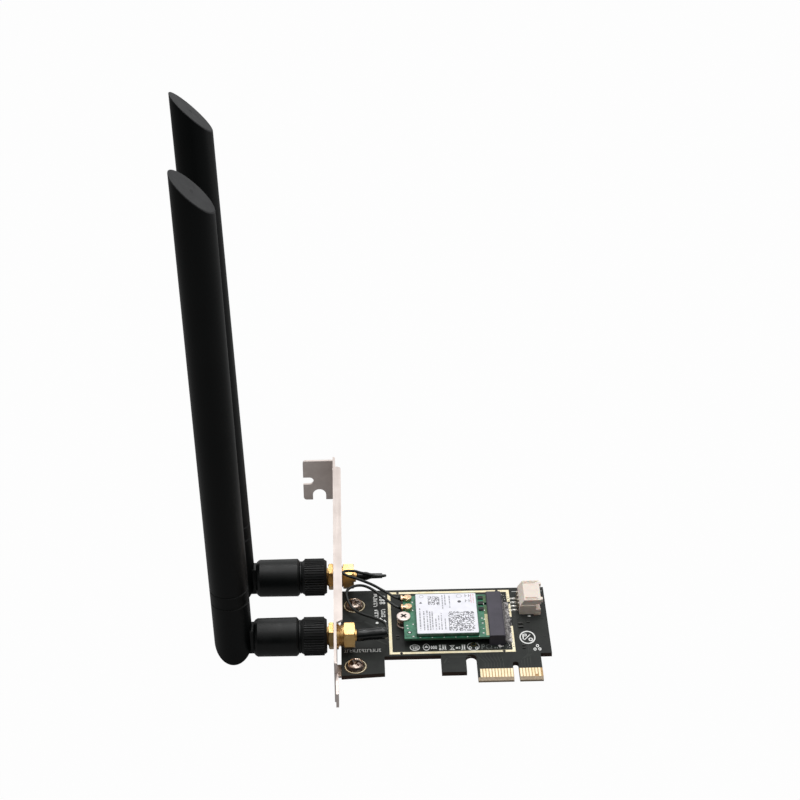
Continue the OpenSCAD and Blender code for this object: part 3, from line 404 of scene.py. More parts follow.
# Plated holes: drilled and plated through the layers. The small ones are tented by the solder
# mask and only their bore shows dark; the large one has a bare gilded rim. The bores are
# dark discs laid on the board: painted shade of the holes.
hole_rim_finish = plain_finish(
    "plated_rim", (200, 176, 120), (232, 212, 160),
    (0.25, 0.4), 0.001, 0.0001, 0.000002, Metallic=1.0,
)
# Near black: painted shade in the holes' bores and the screw's recess, and the dark lines on the
# module.
dark_lines_and_painted_shade_finish = plain_finish(
    "dark_lines_and_painted_shade", (14, 13, 12), (26, 23, 20), (0.6, 0.8), 0.001, 0.0001, 0.000004
)


def turned(bm, outline, steps=48, closed=True, place=Matrix.Identity(4)):
    """Spins an outline of (radius, height) points about its axis."""
    before = set(bm.verts)
    rim = [bm.verts.new((radius, 0, height)) for radius, height in outline]
    lines = [bm.edges.new(pair) for pair in zip(rim, rim[1:])]
    if closed:
        lines.append(bm.edges.new((rim[-1], rim[0])))
    bmesh.ops.spin(
        bm, geom=rim + lines, axis=(0, 0, 1), cent=(0, 0, 0), angle=math.tau,
        steps=steps, use_merge=True, use_duplicate=False,
    )
    made = [v for v in bm.verts if v not in before]
    bmesh.ops.remove_doubles(bm, verts=made, dist=1e-5)
    made = [v for v in bm.verts if v not in before]
    bmesh.ops.transform(bm, matrix=place, verts=made)


def ring(bm, x, y, inner, outer, low, high, steps):
    """A flat upright ring."""
    outline = [(inner, low), (outer, low), (outer, high), (inner, high)]
    turned(bm, outline, steps, place=Matrix.Translation((x, y, 0)))


rims, bore_shades = bmesh.new(), bmesh.new()
bore_top, large_hole = 0.045, (45.2, 17.5)
for x, y, size in (
    (10.2, 32.6, 0.35), (11.4, 21.9, 0.35), (46.2, 9.6, 0.35), (53.8, 10.2, 0.35),
    (64.9, 25.0, 0.4), (67.6, 25.6, 0.4), (66.4, 18.4, 0.35), (61.0, 30.2, 0.35),
    (69.3, 30.4, 0.4), (69.2, 21.0, 0.4), (3.6, 33.4, 0.4), (3.6, 20.6, 0.4),
    (8.2, 44.9, 0.35), (16.0, 25.2, 0.35), (36.6, 9.0, 0.4), (44.2, 12.9, 0.35),
):
    ring(rims, x, y, size * 0.5, size, sunk, 0.07, 20)
    disc(bore_shades, x, y, size * 0.52, sunk, bore_top, 16)
disc(bore_shades, *large_hole, 0.64, sunk, bore_top, 24)
trace_top = (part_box("guard_trace")[1][2] - 0.0008) * 1000
for x, y in ((20.8, 45.05), (54.7, 45.05), (21.2, 13.85), (55.1, 13.85)):
    disc(bore_shades, x, y, 0.5, sunk, trace_top + 0.012, 20)
add_piece("tented_holes", rims, "card", copper_finish)
rims = bmesh.new()
ring(rims, *large_hole, 0.62, 1.05, sunk, 0.08, 32)
add_piece("plated_hole_rims", rims, "card", hole_rim_finish)
add_piece("plated_hole_bore_shades", bore_shades, "card", dark_lines_and_painted_shade_finish)

# Screen print: thin white epoxy ink, in plain bars, rings and dots that spell nothing.
# The print by the socket is painted grey, as painted shade of the socket.
ink_finish = plain_finish(
    "white_ink", (226, 228, 225), (242, 243, 240), (0.5, 0.65), 0.0008, 0.00012, 0.000004
)
ink = bmesh.new()
ink_low, ink_top = sunk, 0.02


def ink_bar(x0, y0, x1, y1):
    """A printed bar between two corners."""
    block(ink, (min(x0, x1), min(y0, y1), ink_low), (max(x0, x1), max(y0, y1), ink_top))


def ink_glyphs(x0, y0, x1, y1, count, line, seed, upright=True):
    """A row or column of small figures of bars and rings that spell nothing."""
    for k in range(count):
        a, b = k / count, (k + 0.78) / count
        if upright:
            left, low, right, high = x0 + (x1 - x0) * a, y0, x0 + (x1 - x0) * b, y1
        else:
            left, low, right, high = x0, y1 + (y0 - y1) * b, x1, y1 + (y0 - y1) * a
            low, high = min(low, high), max(low, high)
        kind = (k * 5 + seed) % 7
        if kind in (0, 3, 5):
            ink_bar(left, low, left + line, high)
        if kind in (1, 3, 4):
            ink_bar(right - line, low, right, high)
        if kind in (0, 2, 4, 6):
            ink_bar(left, high - line, right, high)
        if kind in (1, 2, 5, 6):
            ink_bar(left, low, right, low + line)
        if kind in (2, 6):
            ink_bar((left + right - line) / 2, low, (left + right + line) / 2, high)
        if kind in (3, 4):
            ink_bar(left, (low + high - line) / 2, right, (low + high + line) / 2)
        if kind == 5:
            ink_bar(left, (low + high) / 2, right, (low + high) / 2 + line)


def ink_oval(x, y, across, up, line, steps=40):
    """A printed oval ring."""
    inner = 1 - line / across * 2
    edge = [(inner, ink_low), (1, ink_low), (1, ink_top), (inner, ink_top)]
    place = Matrix.Translation((x, y, 0)) @ Matrix.Diagonal((across / 2, up / 2, 1, 1))
    turned(ink, edge, steps, place=place)


ink_glyphs(12.5, 45.2, 13.8, 38.1, 6, 0.34, 1, upright=False)
for k in range(6):
    ring_x, ring_y = 15.0 + k % 2, (43.2, 41.6, 40.0)[k // 2]
    ink_oval(ring_x, ring_y, 1.0, 1.25, 0.27, 20)
    if k % 2:
        ink_bar(ring_x - 0.3, ring_y - 0.14, ring_x + 0.3, ring_y + 0.14)
ink_glyphs(12.75, 36.7, 14.05, 31.9, 4, 0.34, 3, upright=False)
ink_glyphs(15.0, 36.9, 16.4, 32.6, 4, 0.36, 6, upright=False)
strip(ink, [(14.5, 32.1), (15.3, 30.9)], 0.5, ink_low, ink_top)
disc(ink, 16.0, 30.4, 0.85, ink_low, ink_top, 3)
disc(ink, 13.5, 29.6, 0.52, ink_low, ink_top)
ink_glyphs(2.3, 14.9, 14.7, 16.4, 13, 0.2, 2)
ink_oval(25.7, 16.6, 3.3, 3.1, 0.3)
ink_glyphs(24.85, 15.7, 26.9, 17.5, 3, 0.3, 4)
ink_oval(29.5, 16.7, 2.3, 3.4, 0.22)
disc(ink, 29.5, 16.8, 0.8, ink_low, ink_top, 3)
for k in range(3):
    ink_oval(31.25 + 0.72 * k, 16.5, 0.6, 1.7, 0.17, 18)
ink_glyphs(33.7, 15.0, 36.3, 17.7, 3, 0.42, 3)
for y in (15.0, 17.1):
    ink_bar(37.2, y, 38.9, y + 0.24)
strip(ink, [(37.4, 17.2), (38.7, 15.1)], 0.24, ink_low, ink_top)
strip(ink, [(37.4, 15.1), (38.7, 17.2)], 0.24, ink_low, ink_top)
disc(ink, 39.6, 16.0, 0.42, ink_low, ink_top, 12)
ink_glyphs(40.2, 15.5, 40.8, 16.6, 1, 0.25, 3)
ink_glyphs(41.0, 14.8, 42.6, 17.6, 2, 0.4, 1)
ink_oval(45.05, 16.5, 4.1, 4.1, 0.2, 48)
ink_oval(44.0, 15.9, 1.0, 1.5, 0.2, 20)
ink_oval(46.1, 15.7, 1.0, 1.3, 0.2, 20)
ink_oval(63.35, 20.5, 5.3, 6.6, 0.42, 48)
ink_bar(61.7, 19.5, 62.1, 22.2)
ink_oval(62.6, 21.7, 1.3, 1.4, 0.34, 20)
strip(ink, [(62.2, 19.2), (64.3, 21.9)], 0.34, ink_low, ink_top)
ink_oval(64.35, 19.4, 1.5, 1.8, 0.36, 24)
for x, y in ((66.3, 16.15), (65.35, 14.5), (66.95, 14.5)):
    ink_oval(x, y, 1.05, 1.5, 0.28, 20)
ink_bar(64.4, 31.2, 65.3, 31.65)
ink_bar(59.9, 44.5, 70.1, 44.65)
add_piece("board_print", ink, "card", ink_finish)
# The print by the socket, darkened to grey: painted shade of the socket.
shaded_ink_finish = plain_finish(
    "shaded_ink", (72, 76, 74), (158, 162, 158), (0.5, 0.65), 0.0008, 0.00012, 0.000004
)
ink = bmesh.new()
ink_bar(47.75, 15.0, 48.0, 17.5)
ink_oval(48.4, 16.8, 0.95, 1.5, 0.25, 20)
ink_oval(50.2, 16.3, 2.0, 2.0, 0.16, 24)
ink_bar(49.3, 15.3, 51.3, 15.5)
for x, y, width in ((52.0, 15.3, 0.4), (52.8, 15.2, 0.3), (53.6, 15.3, 0.5)):
    ink_bar(x, y, x + width, y + 0.7)
add_piece("shaded_board_print", ink, "card", shaded_ink_finish)

# Edge contacts: flat fingers along the board's lower edge that slide into the slot, hard
# gold over nickel on copper, plated on both faces.
gold_finish = plain_finish(
    "gold_plate", (240, 222, 180), (250, 238, 208),
    (0.3, 0.45), 0.002, 0.00025, 0.0000015, Metallic=0.75,
)
dress(gold_finish, "edge_contacts")

# Guard trace: a line of gilded copper round the module, 1 mm wide, left bare by the
# solder mask.
trace_finish = plain_finish(
    "gilded_copper", (238, 224, 184), (250, 242, 214),
    (0.35, 0.5), 0.0015, 0.0002, 0.000003, Metallic=0.55,
)
dress(trace_finish, "guard_trace")

# Screw pads and bracket screws: bare gilded rings on the board, and nickel-plated pan
# heads with a cross recess that clamp the board to the bracket's ears.
# The pads' gilded colour is painted dark brown: a painted dark reflection.
pad_finish = plain_finish(
    "pad_painted_dark_reflection", (84, 70, 58), (118, 102, 84), (0.2, 0.35), 0.002, 0.00025, 0.000003, Metallic=1.0
)
dress(pad_finish, "screw_pads")
screw_finish = plain_finish(
    "nickel_screw", (104, 80, 74), (190, 178, 166),
    (0.12, 0.24), 0.0012, 0.0005, 0.00004, Metallic=1.0,
)


def add_to(bm, part):
    """Adds one shape to another and lets go of it."""
    carried = bpy.data.meshes.new("carried")
    part.to_mesh(carried)
    part.free()
    bm.from_mesh(carried)
    bpy.data.meshes.remove(carried)


def cross_head(bm, outline, place, recess, blade, depth, turn):
    """A turned screw head with a tapered cross pressed into its top."""
    head = bmesh.new()
    turned(head, outline, 96)
    top = max(height for _, height in outline)
    for v in head.verts:
        if v.co.xy.length >= recess / 2 + 0.05 or v.co.z <= top - 0.45 * depth:
            continue
        x = v.co.x * math.cos(turn) + v.co.y * math.sin(turn)
        y = -v.co.x * math.sin(turn) + v.co.y * math.cos(turn)
        along, across = 2 / recess, 2 / blade
        x, y = abs(x), abs(y)
        near = min(max(x * along, y * across), max(y * along, x * across))
        if near < 1:
            v.co.z -= depth * min(1.0, (1 - near) * 3)
    bmesh.ops.transform(head, matrix=place, verts=head.verts)
    add_to(bm, head)


bracket_screws, pad_rims = bmesh.new(), bmesh.new()
pad_top = (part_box("screw_pads")[1][2] - 0.0008) * 1000 + 0.015
for y, turn in ((8.0, 0.5), (38.85, 0.2)):
    hole = Matrix.Translation((6.0, y, 0))
    dome = [(0.0, 1.75), *[(0.22 * k, 1.75 - 0.012 * k * k * 0.5) for k in range(1, 11)]]
    dome += [(2.5, 1.2), (2.85, 0.75), (3.0, 0.3), (3.0, 0.06), (0.0, 0.06)]
    cross_head(bracket_screws, dome, hole, 3.5, 0.9, 0.95, turn)
    shank = [(0.0, 0.1), (1.48, 0.1)]
    for k in range(6):
        shank += [(1.48, -0.05 - 0.5 * k), (1.28, -0.3 - 0.5 * k)]
    shank += [(1.3, -3.0), (0.0, -3.05)]
    turned(bracket_screws, shank, 32, place=hole)
    ring(pad_rims, 6.0, y, 3.28, 3.5, 0.02, pad_top, 64)
add_piece("screw_pad_rims", pad_rims, "card", trace_finish)
add_piece(
    "bracket_screws_crossed", bracket_screws, "card", screw_finish,
    ["bracket_screws"],
)

# Bracket: 0.86 mm steel strip, blanked, bent and nickel plated, with the marks of
# drawing along its length. It carries the jacks and holds the card in the case.
sheet_finish, sheet_tree, sheet_shader = new_finish("plated_sheet", Metallic=1.0)
drawn = grain(sheet_tree, 0.0012, 4.0, (2.0, 0.06, 2.0))
sheet_colour = between(
    sheet_tree, grain(sheet_tree, 0.006), (216, 204, 198), (232, 221, 215)
)
coat(sheet_tree, sheet_shader, sheet_colour, drawn, (0.3, 0.44), drawn, 0.000004)
dress(sheet_finish, "bracket")

# Standoff and screw of the module: a nickel-plated brass post riveted into the board,
# and a flat-headed M2 screw that holds the module's end down on it.
post_finish = plain_finish(
    "nickel_post", (150, 122, 112), (220, 206, 196),
    (0.22, 0.34), 0.001, 0.0002, 0.000002, Metallic=1.0,
)
module_hole = Matrix.Translation((22.35, 28.4, 0))
post = bmesh.new()
post_outline = [
    (1.03, 0.0), (2.2, 0.0), (2.2, 0.3), (1.95, 0.5), (1.95, 1.95), (2.2, 2.15), (2.2, 2.45),
    (1.03, 2.45),
]
turned(post, post_outline, 64, place=module_hole)
add_piece("module_standoff_turned", post, "card", post_finish, ["module_standoff"])
head_finish = plain_finish(
    "pale_nickel", (232, 214, 206), (246, 234, 228),
    (0.35, 0.45), 0.001, 0.0002, 0.0000015, Metallic=0.6,
)
module_screw = bmesh.new()
flat_head = [(0.0, 3.95), *[(0.18 * k, 3.95) for k in range(1, 11)]]
flat_head += [(2.08, 3.93), (2.26, 3.84), (2.3, 3.7), (2.3, 3.34), (2.2, 3.26), (0.0, 3.26)]
cross_turn = 0.7
cross_head(module_screw, flat_head, module_hole, 2.4, 0.6, 0.6, cross_turn)
thread = [(0.0, 3.3), (0.99, 3.3)]
for k in range(7):
    thread += [(0.99, 3.2 - 0.4 * k), (0.84, 3.0 - 0.4 * k)]
thread += [(0.8, 0.45), (0.0, 0.41)]
turned(module_screw, thread, 32, place=module_hole)
add_piece(
    "module_screw_crossed", module_screw, "card", head_finish, ["module_screw"]
)
# Dark bars at the bottom of the cross recess: painted shade in the recess.
recess = bmesh.new()
for quarter in (cross_turn, cross_turn + math.pi / 2):
    turn = Matrix.Translation((0, 0, 3.75)) @ Matrix.Rotation(quarter, 4, "Z")
    arm = module_hole @ turn @ Matrix.Diagonal((2.0, 0.42, 0.3, 1))
    bmesh.ops.create_cube(recess, size=1.0, matrix=arm)
add_piece("module_screw_recess_shade", recess, "card", dark_lines_and_painted_shade_finish)

# Module board: 0.8 mm green board with its own copper, test points and solder dots. One
# end is pushed into the socket and the other is held down by the screw.
green_finish, green_tree, green_shader = new_finish(
    "green_solder_mask", Coat_Weight=0.3, Coat_Roughness=0.15
)
green_top = between(green_tree, grain(green_tree, 0.0012), (22, 98, 70), (66, 138, 106))
# The board's sides are a darker copy of its green top: painted shade.
shaded_green_side = between(green_tree, grain(green_tree, 0.0006), (4, 66, 46), (12, 92, 66))
coat(
    green_tree, green_shader,
    over(green_tree, within(green_tree, "Z", 0.00326, 0.00404), green_top, shaded_green_side),
    grain(green_tree, 0.002), (0.3, 0.42), grain(green_tree, 0.0004, 4.0), 0.000008,
)
dress(green_finish, "module_board")
solder_finish = plain_finish(
    "bright_solder", (196, 196, 192), (232, 232, 228),
    (0.2, 0.42), 0.0006, 0.0002, 0.000008, Metallic=0.9,
)
module_top = 3.25
line_low, line_top = module_top - 0.005, module_top + 0.012


def blob(bm, x, y, z, radius, shape, around, up):
    """A squashed drop of solder."""
    bmesh.ops.create_uvsphere(
        bm, u_segments=around, v_segments=up, radius=radius,
        matrix=Matrix.Translation((x, y, z)) @ Matrix.Diagonal((*shape, 1)),
    )


dots = bmesh.new()
for k in range(6):
    blob(dots, 27.6 + 3.9 * k, 17.68, module_top + 0.02, 0.22, (1.3, 0.8, 0.5), 12, 8)
for x, y, length, width in (
    (48.6, 34.4, 0.5, 0.7), (49.4, 34.4, 0.5, 0.7), (48.7, 30.9, 0.45, 0.7),
    (49.5, 31.0, 0.45, 0.6), (48.5, 27.0, 0.5, 0.5), (49.3, 26.4, 0.4, 0.6),
    (48.6, 24.4, 0.5, 0.5), (48.7, 21.6, 0.5, 0.4), (48.6, 19.4, 0.6, 0.5),
    (25.5, 36.0, 0.4, 0.7), (25.5, 31.8, 0.4, 0.6), (25.4, 24.6, 0.4, 0.6),
    (23.4, 24.0, 0.6, 0.4), (23.6, 22.6, 0.6, 0.4), (25.3, 18.4, 0.5, 0.5),
):
    corner = Vector((length / 2, width / 2, 0))
    block(dots, Vector((x, y, line_low)) - corner, Vector((x, y, module_top + 0.06)) + corner)
disc(dots, 24.1, 20.5, 0.42, line_low, module_top + 0.05)
add_piece("module_solder_points", dots, "card", solder_finish)
ring_mark = bmesh.new()
ring(ring_mark, 24.1, 20.5, 0.48, 0.72, line_low, module_top + 0.025, 32)
for y, end in ((38.6, 50.2), (25.4, 50.0), (22.9, 50.0)):
    block(ring_mark, (47.6, y, line_low), (end, y + 0.15, line_top))
for k in range(9):
    x = 23.0 + 0.28 * k
    strip(ring_mark, [(x, 18.2), (x, 19.0)], 0.1, line_low, line_top)
add_piece("module_dark_lines", ring_mark, "card", dark_lines_and_painted_shade_finish)

# Shield can: drawn and tinned sheet over the radio, its side wall in the open below the
# label, soldered down all round.
# The can's tin is coloured dark green-grey: a painted reflection of the green board, darkened.
can_finish, can_tree, can_shader = new_finish("tinned_can_painted_reflection", Metallic=1.0)
coat(
    can_tree, can_shader,
    between(can_tree, grain(can_tree, 0.002), (66, 96, 84), (104, 128, 118)),
    grain(can_tree, 0.001, 3.0, (0.2, 2, 2)), (0.3, 0.45), grain(can_tree, 0.0006), 0.000006,
)
dress(can_finish, "module_shield")

# Label: matte white film stuck on the can, printed in greys with plain bars, rings, dots
# and fields of small squares that mean nothing.
film_finish = plain_finish(
    "white_film", (234, 234, 242), (246, 246, 252), (0.45, 0.6), 0.003, 0.0003, 0.000003
)
dress(film_finish, "module_label")
print_settings = ((0.5, 0.6), 0.0006, 0.0001, 0.000001)
grey_print_finish = plain_finish(
    "grey_print", (140, 140, 146), (172, 172, 178), *print_settings
)
dark_print_finish = plain_finish(
    "dark_print", (66, 66, 72), (96, 96, 102), *print_settings
)
pale_print_finish = plain_finish(
    "pale_print", (224, 176, 184), (236, 200, 206), *print_settings
)
print_low, print_top = 4.648, 4.658
words, pale_words, codes = bmesh.new(), bmesh.new(), bmesh.new()


def printed_column(bm, x, start, stop, width, seed):
    """A line of print that runs across the label, broken into short bars like words."""
    y, k = start, seed
    while y > stop:
        k = (k * 7 + 3) % 11
        length = min(0.35 + 0.12 * k, y - stop)
        block(bm, (x - width / 2, y - length, print_low), (x + width / 2, y, print_top))
        y -= length + (0.28 if k % 3 else 0.55)


for number, (x, start) in enumerate((
    (27.8, 31.2), (29.1, 29.6), (30.2, 29.9), (31.1, 29.3), (31.9, 29.3),
    (33.0, 25.6), (34.0, 27.2), (34.9, 28.3), (36.1, 25.6),
)):
    printed_column(words, x, start, 19.8, 0.42 if number < 6 else 0.34, number + 2)
for number, (x, start, stop) in enumerate((
    (35.6, 37.8, 30.4), (36.5, 38.0, 32.6), (38.0, 37.4, 31.0),
)):
    printed_column(words, x, start, stop, 0.36, number + 5)
for number, x in enumerate((45.3, 46.1)):
    printed_column(pale_words, x, 38.2, 33.4, 0.3, number + 1)
for x, y, radius in ((28.6, 37.3, 0.75), (41.3, 37.2, 0.95)):
    ring(words, x, y, radius - 0.14, radius, print_low, print_top, 28)
disc(codes, 28.3, 33.9, 0.62, print_low, print_top, 3)
disc(codes, 41.3, 34.3, 0.62, print_low, print_top, 20)
for x, y in ((43.4, 37.3), (44.6, 37.3), (43.4, 34.6), (44.6, 34.6)):
    block(words, (x - 0.12, y - 0.75, print_low), (x + 0.12, y + 0.75, print_top))
    block(words, (x, y - 0.1, print_low), (x + 0.7, y + 0.1, print_top))
for left, low, cell, across, up in ((30.75, 32.7, 0.3, 13, 15), (37.3, 19.1, 0.345, 25, 29)):
    side = cell * 0.88
    for i in range(across):
        for j in range(up):
            if (i * 73 + j * 151 + i * i * 19 + i * j * j * 31 + j * j * 7) % 97 % 2:
                x, y = left + i * cell, low + j * cell
                block(codes, (x, y, print_low), (x + side, y + side, print_top))
add_piece("label_print", words, "card", grey_print_finish)
add_piece("label_code_print", codes, "card", dark_print_finish)
add_piece("label_pale_print", pale_words, "card", pale_print_finish)

# Antenna jacks of the module and the plugs on them: gilded bronze, stamped. Each plug's
# crimp has two wings folded round the cable.
dress(gold_finish, "module_jacks")
plug_finish, plug_tree, plug_shader = new_finish("gilded_bronze", Metallic=0.9)
plug_colour = between(
    plug_tree, grain(plug_tree, 0.0009, 4.0), (214, 164, 122), (250, 226, 192)
)
plug_colour = over(
    plug_tree, within(plug_tree, "X", -0.0400, -0.0367), plug_colour, (20, 24, 23)
)


def eased(bm, edges, offset):
    """Rounds those edges a little."""
    bmesh.ops.bevel(
        bm, geom=edges, offset=offset, segments=2, affect="EDGES", profile=0.5, material=-1
    )


coat(
    plug_tree, plug_shader, plug_colour,
    grain(plug_tree, 0.0006), (0.22, 0.38), grain(plug_tree, 0.0005, 3.0), 0.00002,
)
dress(plug_finish, "front_plug", "rear_plug")
wings = bmesh.new()
for y in (37.5, 32.7):
    for wing_y in (y - 0.72, y + 0.72):
        block(wings, (21.75, wing_y - 0.12, 3.3), (22.35, wing_y + 0.12, 4.45))
    disc(wings, 24.0, y, 0.85, 4.3, 4.53, 28)
    rim = [(1.1, 4.3), (1.3, 4.3), (1.3, 4.46), (1.1, 4.54)]
    turned(wings, rim, 32, place=Matrix.Translation((24.0, y, 0)))
eased(wings, [e for e in wings.edges if e.calc_face_angle(0.0) > 1.2], 0.05)
add_piece("plug_crimp_wings", wings, "card", plug_finish)

# Small chips and contacts at the module's end: moulded packages, and gold contacts that
# slide into the socket.
chip_finish = plain_finish(
    "moulded_package", (9, 11, 11), (18, 21, 20), (0.45, 0.6), 0.0006, 0.00008, 0.000005
)
dress(chip_finish, "module_chips")
tongue_finish, tongue_tree, tongue_shader = new_finish("masked_contacts", Metallic=0.3)
tongue_colour = between(
    tongue_tree, grain(tongue_tree, 0.0004, 3.0), (52, 92, 62), (128, 138, 92)
)
tongue_colour = over(
    tongue_tree, within(tongue_tree, "Y", 0.0150, 0.0292), tongue_colour, (236, 222, 176)
)
coat(
    tongue_tree, tongue_shader, tongue_colour,
    grain(tongue_tree, 0.001), (0.28, 0.42), grain(tongue_tree, 0.0005), 0.000004,
)
dress(tongue_finish, "module_contacts")

# Module socket: glass-filled nylon, slate grey, with tinned spring contacts in its mouth
# and their tails soldered down behind it.
nylon_finish = plain_finish(
    "slate_nylon", (70, 68, 76), (80, 77, 86),
    (0.5, 0.62), 0.005, 0.00012, 0.000006, Specular_IOR_Level=0.25,
)
dress(nylon_finish, "module_socket")
# The tails and their solder are speckled, from near black to near white.
tails_finish = plain_finish(
    "speckled_tails", (48, 46, 50), (206, 202, 200), (0.3, 0.6), 0.0004, 0.0001, 0.00001,
    Metallic=0.4,
)
dress(tails_finish, "socket_contacts")
speckled_solder_finish, speckled_tree, speckled_shader = new_finish("speckled_solder", Metallic=0.3)
coat(
    speckled_tree, speckled_shader,
    between(
        speckled_tree, grain(speckled_tree, 0.0011, 2.0), (34, 33, 37), (236, 232, 230),
        0.47, 0.6,
    ),
    grain(speckled_tree, 0.0005), (0.35, 0.6), grain(speckled_tree, 0.0003), 0.00001,
)
contact_places = [28.4 + (i - 20) * 0.5 for i in range(41)]
solder = bmesh.new()
for i, y in enumerate(contact_places):
    x, size = 57.6 + 0.08 * ((i * 3) % 5), 0.2 + 0.03 * ((i * 5) % 4)
    blob(solder, x, y, 0.04, size, (2.2, 0.8, 0.9), 10, 6)
for i in range(150):
    x = 55.9 + 2.7 * ((i * 0.618) % 1.0)
    y = 14.9 + 29.2 * ((i * 0.7549) % 1.0)
    blob(solder, x, y, 0.02, 0.12 + 0.03 * (i % 5), (1.0, 1.0, 0.7), 8, 5)
for x, y in ((54.2, 40.35), (54.2, 16.45), (52.0, 40.3)):
    blob(solder, x, y, 0.04, 0.62, (1.6, 0.9, 0.5), 16, 10)
add_piece("socket_solder", solder, "card", speckled_solder_finish)
pads = bmesh.new()
for y in contact_places:
    block(pads, (56.1, y - 0.15, sunk), (58.6, y + 0.15, 0.03))
add_piece("socket_pads", pads, "card", speckled_solder_finish)

# Cable header: moulded ivory nylon shell with four tinned pins that come out of its
# sloped back and are soldered to the board.
ivory_finish, ivory_tree, ivory_shader = new_finish(
    "ivory_nylon", Subsurface_Weight=0.15, Subsurface_Scale=0.001
)
coat(
    ivory_tree, ivory_shader,
    between(ivory_tree, grain(ivory_tree, 0.004), (228, 215, 203), (240, 230, 219)),
    grain(ivory_tree, 0.003), (0.42, 0.55), grain(ivory_tree, 0.00015, 2.0), 0.000004,
)
tin_finish = plain_finish(
    "tinned_tails", (178, 170, 158), (216, 210, 200), (0.25, 0.45), 0.0005, 0.0001,
    0.000004, Metallic=1.0,
)


def carved(bm, tool):
    """Cuts the tool's shape out of the piece and gives the piece back."""
    held = []
    for shape in (bm, tool):
        bmesh.ops.recalc_face_normals(shape, faces=shape.faces)
        mesh = bpy.data.meshes.new("carving")
        shape.to_mesh(mesh)
        shape.free()
        held.append(bpy.data.objects.new("carving", mesh))
        bpy.context.scene.collection.objects.link(held[-1])
    carving = held[0].modifiers.new("carve", "BOOLEAN")
    carving.operation = "DIFFERENCE"
    carving.solver = "EXACT"
    carving.object = held[1]
    bpy.context.view_layer.update()
    graph = bpy.context.evaluated_depsgraph_get()
    made = bpy.data.meshes.new_from_object(held[0].evaluated_get(graph))
    for shape in held:
        mesh = shape.data
        bpy.data.objects.remove(shape)
        bpy.data.meshes.remove(mesh)
    done = bmesh.new()
    done.from_mesh(made)
    bpy.data.meshes.remove(made)
    return done


shell = bmesh.new()
shell.from_mesh(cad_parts["cable_header"].data)
bmesh.ops.remove_doubles(shell, verts=shell.verts, dist=1e-7)
bmesh.ops.transform(shell, matrix=from_bracket.inverted(), verts=shell.verts)
bmesh.ops.dissolve_limit(shell, angle_limit=0.02, verts=shell.verts, edges=shell.edges)
long_edges = [e for e in shell.edges if e.calc_length() > 1.5 and e.calc_face_angle(0.0) > 0.5]
eased(shell, long_edges, 0.16)
for low, high in (
    ((63.1, 41.5, 5.55), (67.4, 41.9, 6.5)), ((63.5, 33.7, 5.55), (67.6, 34.1, 6.5)),
    ((60.0, 31.0, 3.75), (70.0, 32.5, 7.0)), ((60.0, 31.0, 0.55), (66.4, 32.45, 0.85)),
):
    groove = bmesh.new()
    block(groove, low, high)
    shell = carved(shell, groove)
bmesh.ops.remove_doubles(shell, verts=shell.verts, dist=0.03)
bmesh.ops.dissolve_degenerate(shell, edges=shell.edges, dist=0.001)
for y in (33.0, 41.2):
    block(shell, (68.4, y, 4.7), (69.4, y + 1.3, 5.85))
add_piece("header_shell", shell, "card", ivory_finish, ["cable_header"])
dress(tin_finish, "header_pins")
header_pads = bmesh.new()
for k in range(4):
    y = 37.7 + (k - 1.5) * 2.0
    block(header_pads, (58.95, y - 0.45, sunk), (61.3, y + 0.45, 0.03))
    blob(header_pads, 60.0, y, 0.03, 0.5, (1.8, 0.75, 0.7), 12, 8)
add_piece("header_solder", header_pads, "card", solder_finish)

# Chip capacitors and resistors: sintered ceramic blocks with tinned ends, soldered flat
# on the board.
ceramic_finish = plain_finish(
    "chip_ceramic", (33, 34, 33), (42, 42, 40), (0.4, 0.55), 0.0005, 0.0001, 0.000004
)
bodies, ends = bmesh.new(), bmesh.new()
for x, y, length, width in (
    (61.6, 27.6, 1.6, 0.8), (61.6, 25.8, 1.6, 0.8), (64.2, 28.2, 1.0, 0.5), (61.8, 15.2, 1.0, 0.5),
    (61.8, 16.4, 1.0, 0.5), (20.2, 22.5, 1.0, 0.5), (20.2, 21.3, 1.0, 0.5),
):
    height = 0.55 * width + 0.08
    cap = length * 0.22
    left, right, front, back = x - length / 2, x + length / 2, y - width / 2, y + width / 2
    inset = cap * 0.8
    block(
        bodies, (left + inset, front + 0.015, 0.0), (right - inset, back - 0.015, height - 0.02)
    )
    block(ends, (left, front, 0.0), (left + cap, back, height))
    block(ends, (right - cap, front, 0.0), (right, back, height))
eased(ends, list(ends.edges), 0.04)
eased(bodies, list(bodies.edges), 0.03)
add_piece("chip_bodies", bodies, "card", ceramic_finish, ["board_components"])
dull_finish = plain_finish(
    "dull_solder", (48, 49, 46), (70, 70, 66), (0.35, 0.5), 0.0006, 0.0002, 0.000006, Metallic=0.6
)
add_piece("chip_ends", ends, "card", dull_finish, ["board_components"])

# Bulkhead jacks: turned brass, gold plated, with a fine thread outside and a hexagon
# inside the bracket, a toothed lock washer between, and a hexagon nut outside.
brass_finish, brass_tree, brass_shader = new_finish("gilded_brass", Metallic=0.85)
coat(
    brass_tree, brass_shader,
    between(brass_tree, grain(brass_tree, 0.003, 2.0), (216, 172, 108), (234, 198, 136)),
    grain(brass_tree, 0.0025, 2.0), (0.26, 0.36), grain(brass_tree, 0.0018, 1.0), 0.0000012,
)
dress(brass_finish, "front_jack_nut", "rear_jack_nut", "front_lock_washer", "rear_lock_washer",
      "front_antenna_plug", "rear_antenna_plug", "front_radiator", "rear_radiator")
white_finish = plain_finish(
    "white_insulator", (232, 232, 228), (244, 244, 240), (0.35, 0.45), 0.001, 0.0001, 0.000002
)
dress(white_finish, "front_jack_insulator", "rear_jack_insulator")
ports, jack_heights, jack_rise = ("front", "rear"), (16.7, 47.55), 5.81
thread_radius, thread_root, thread_flat, thread_pitch = 3.17, 2.93, 2.725, 0.706


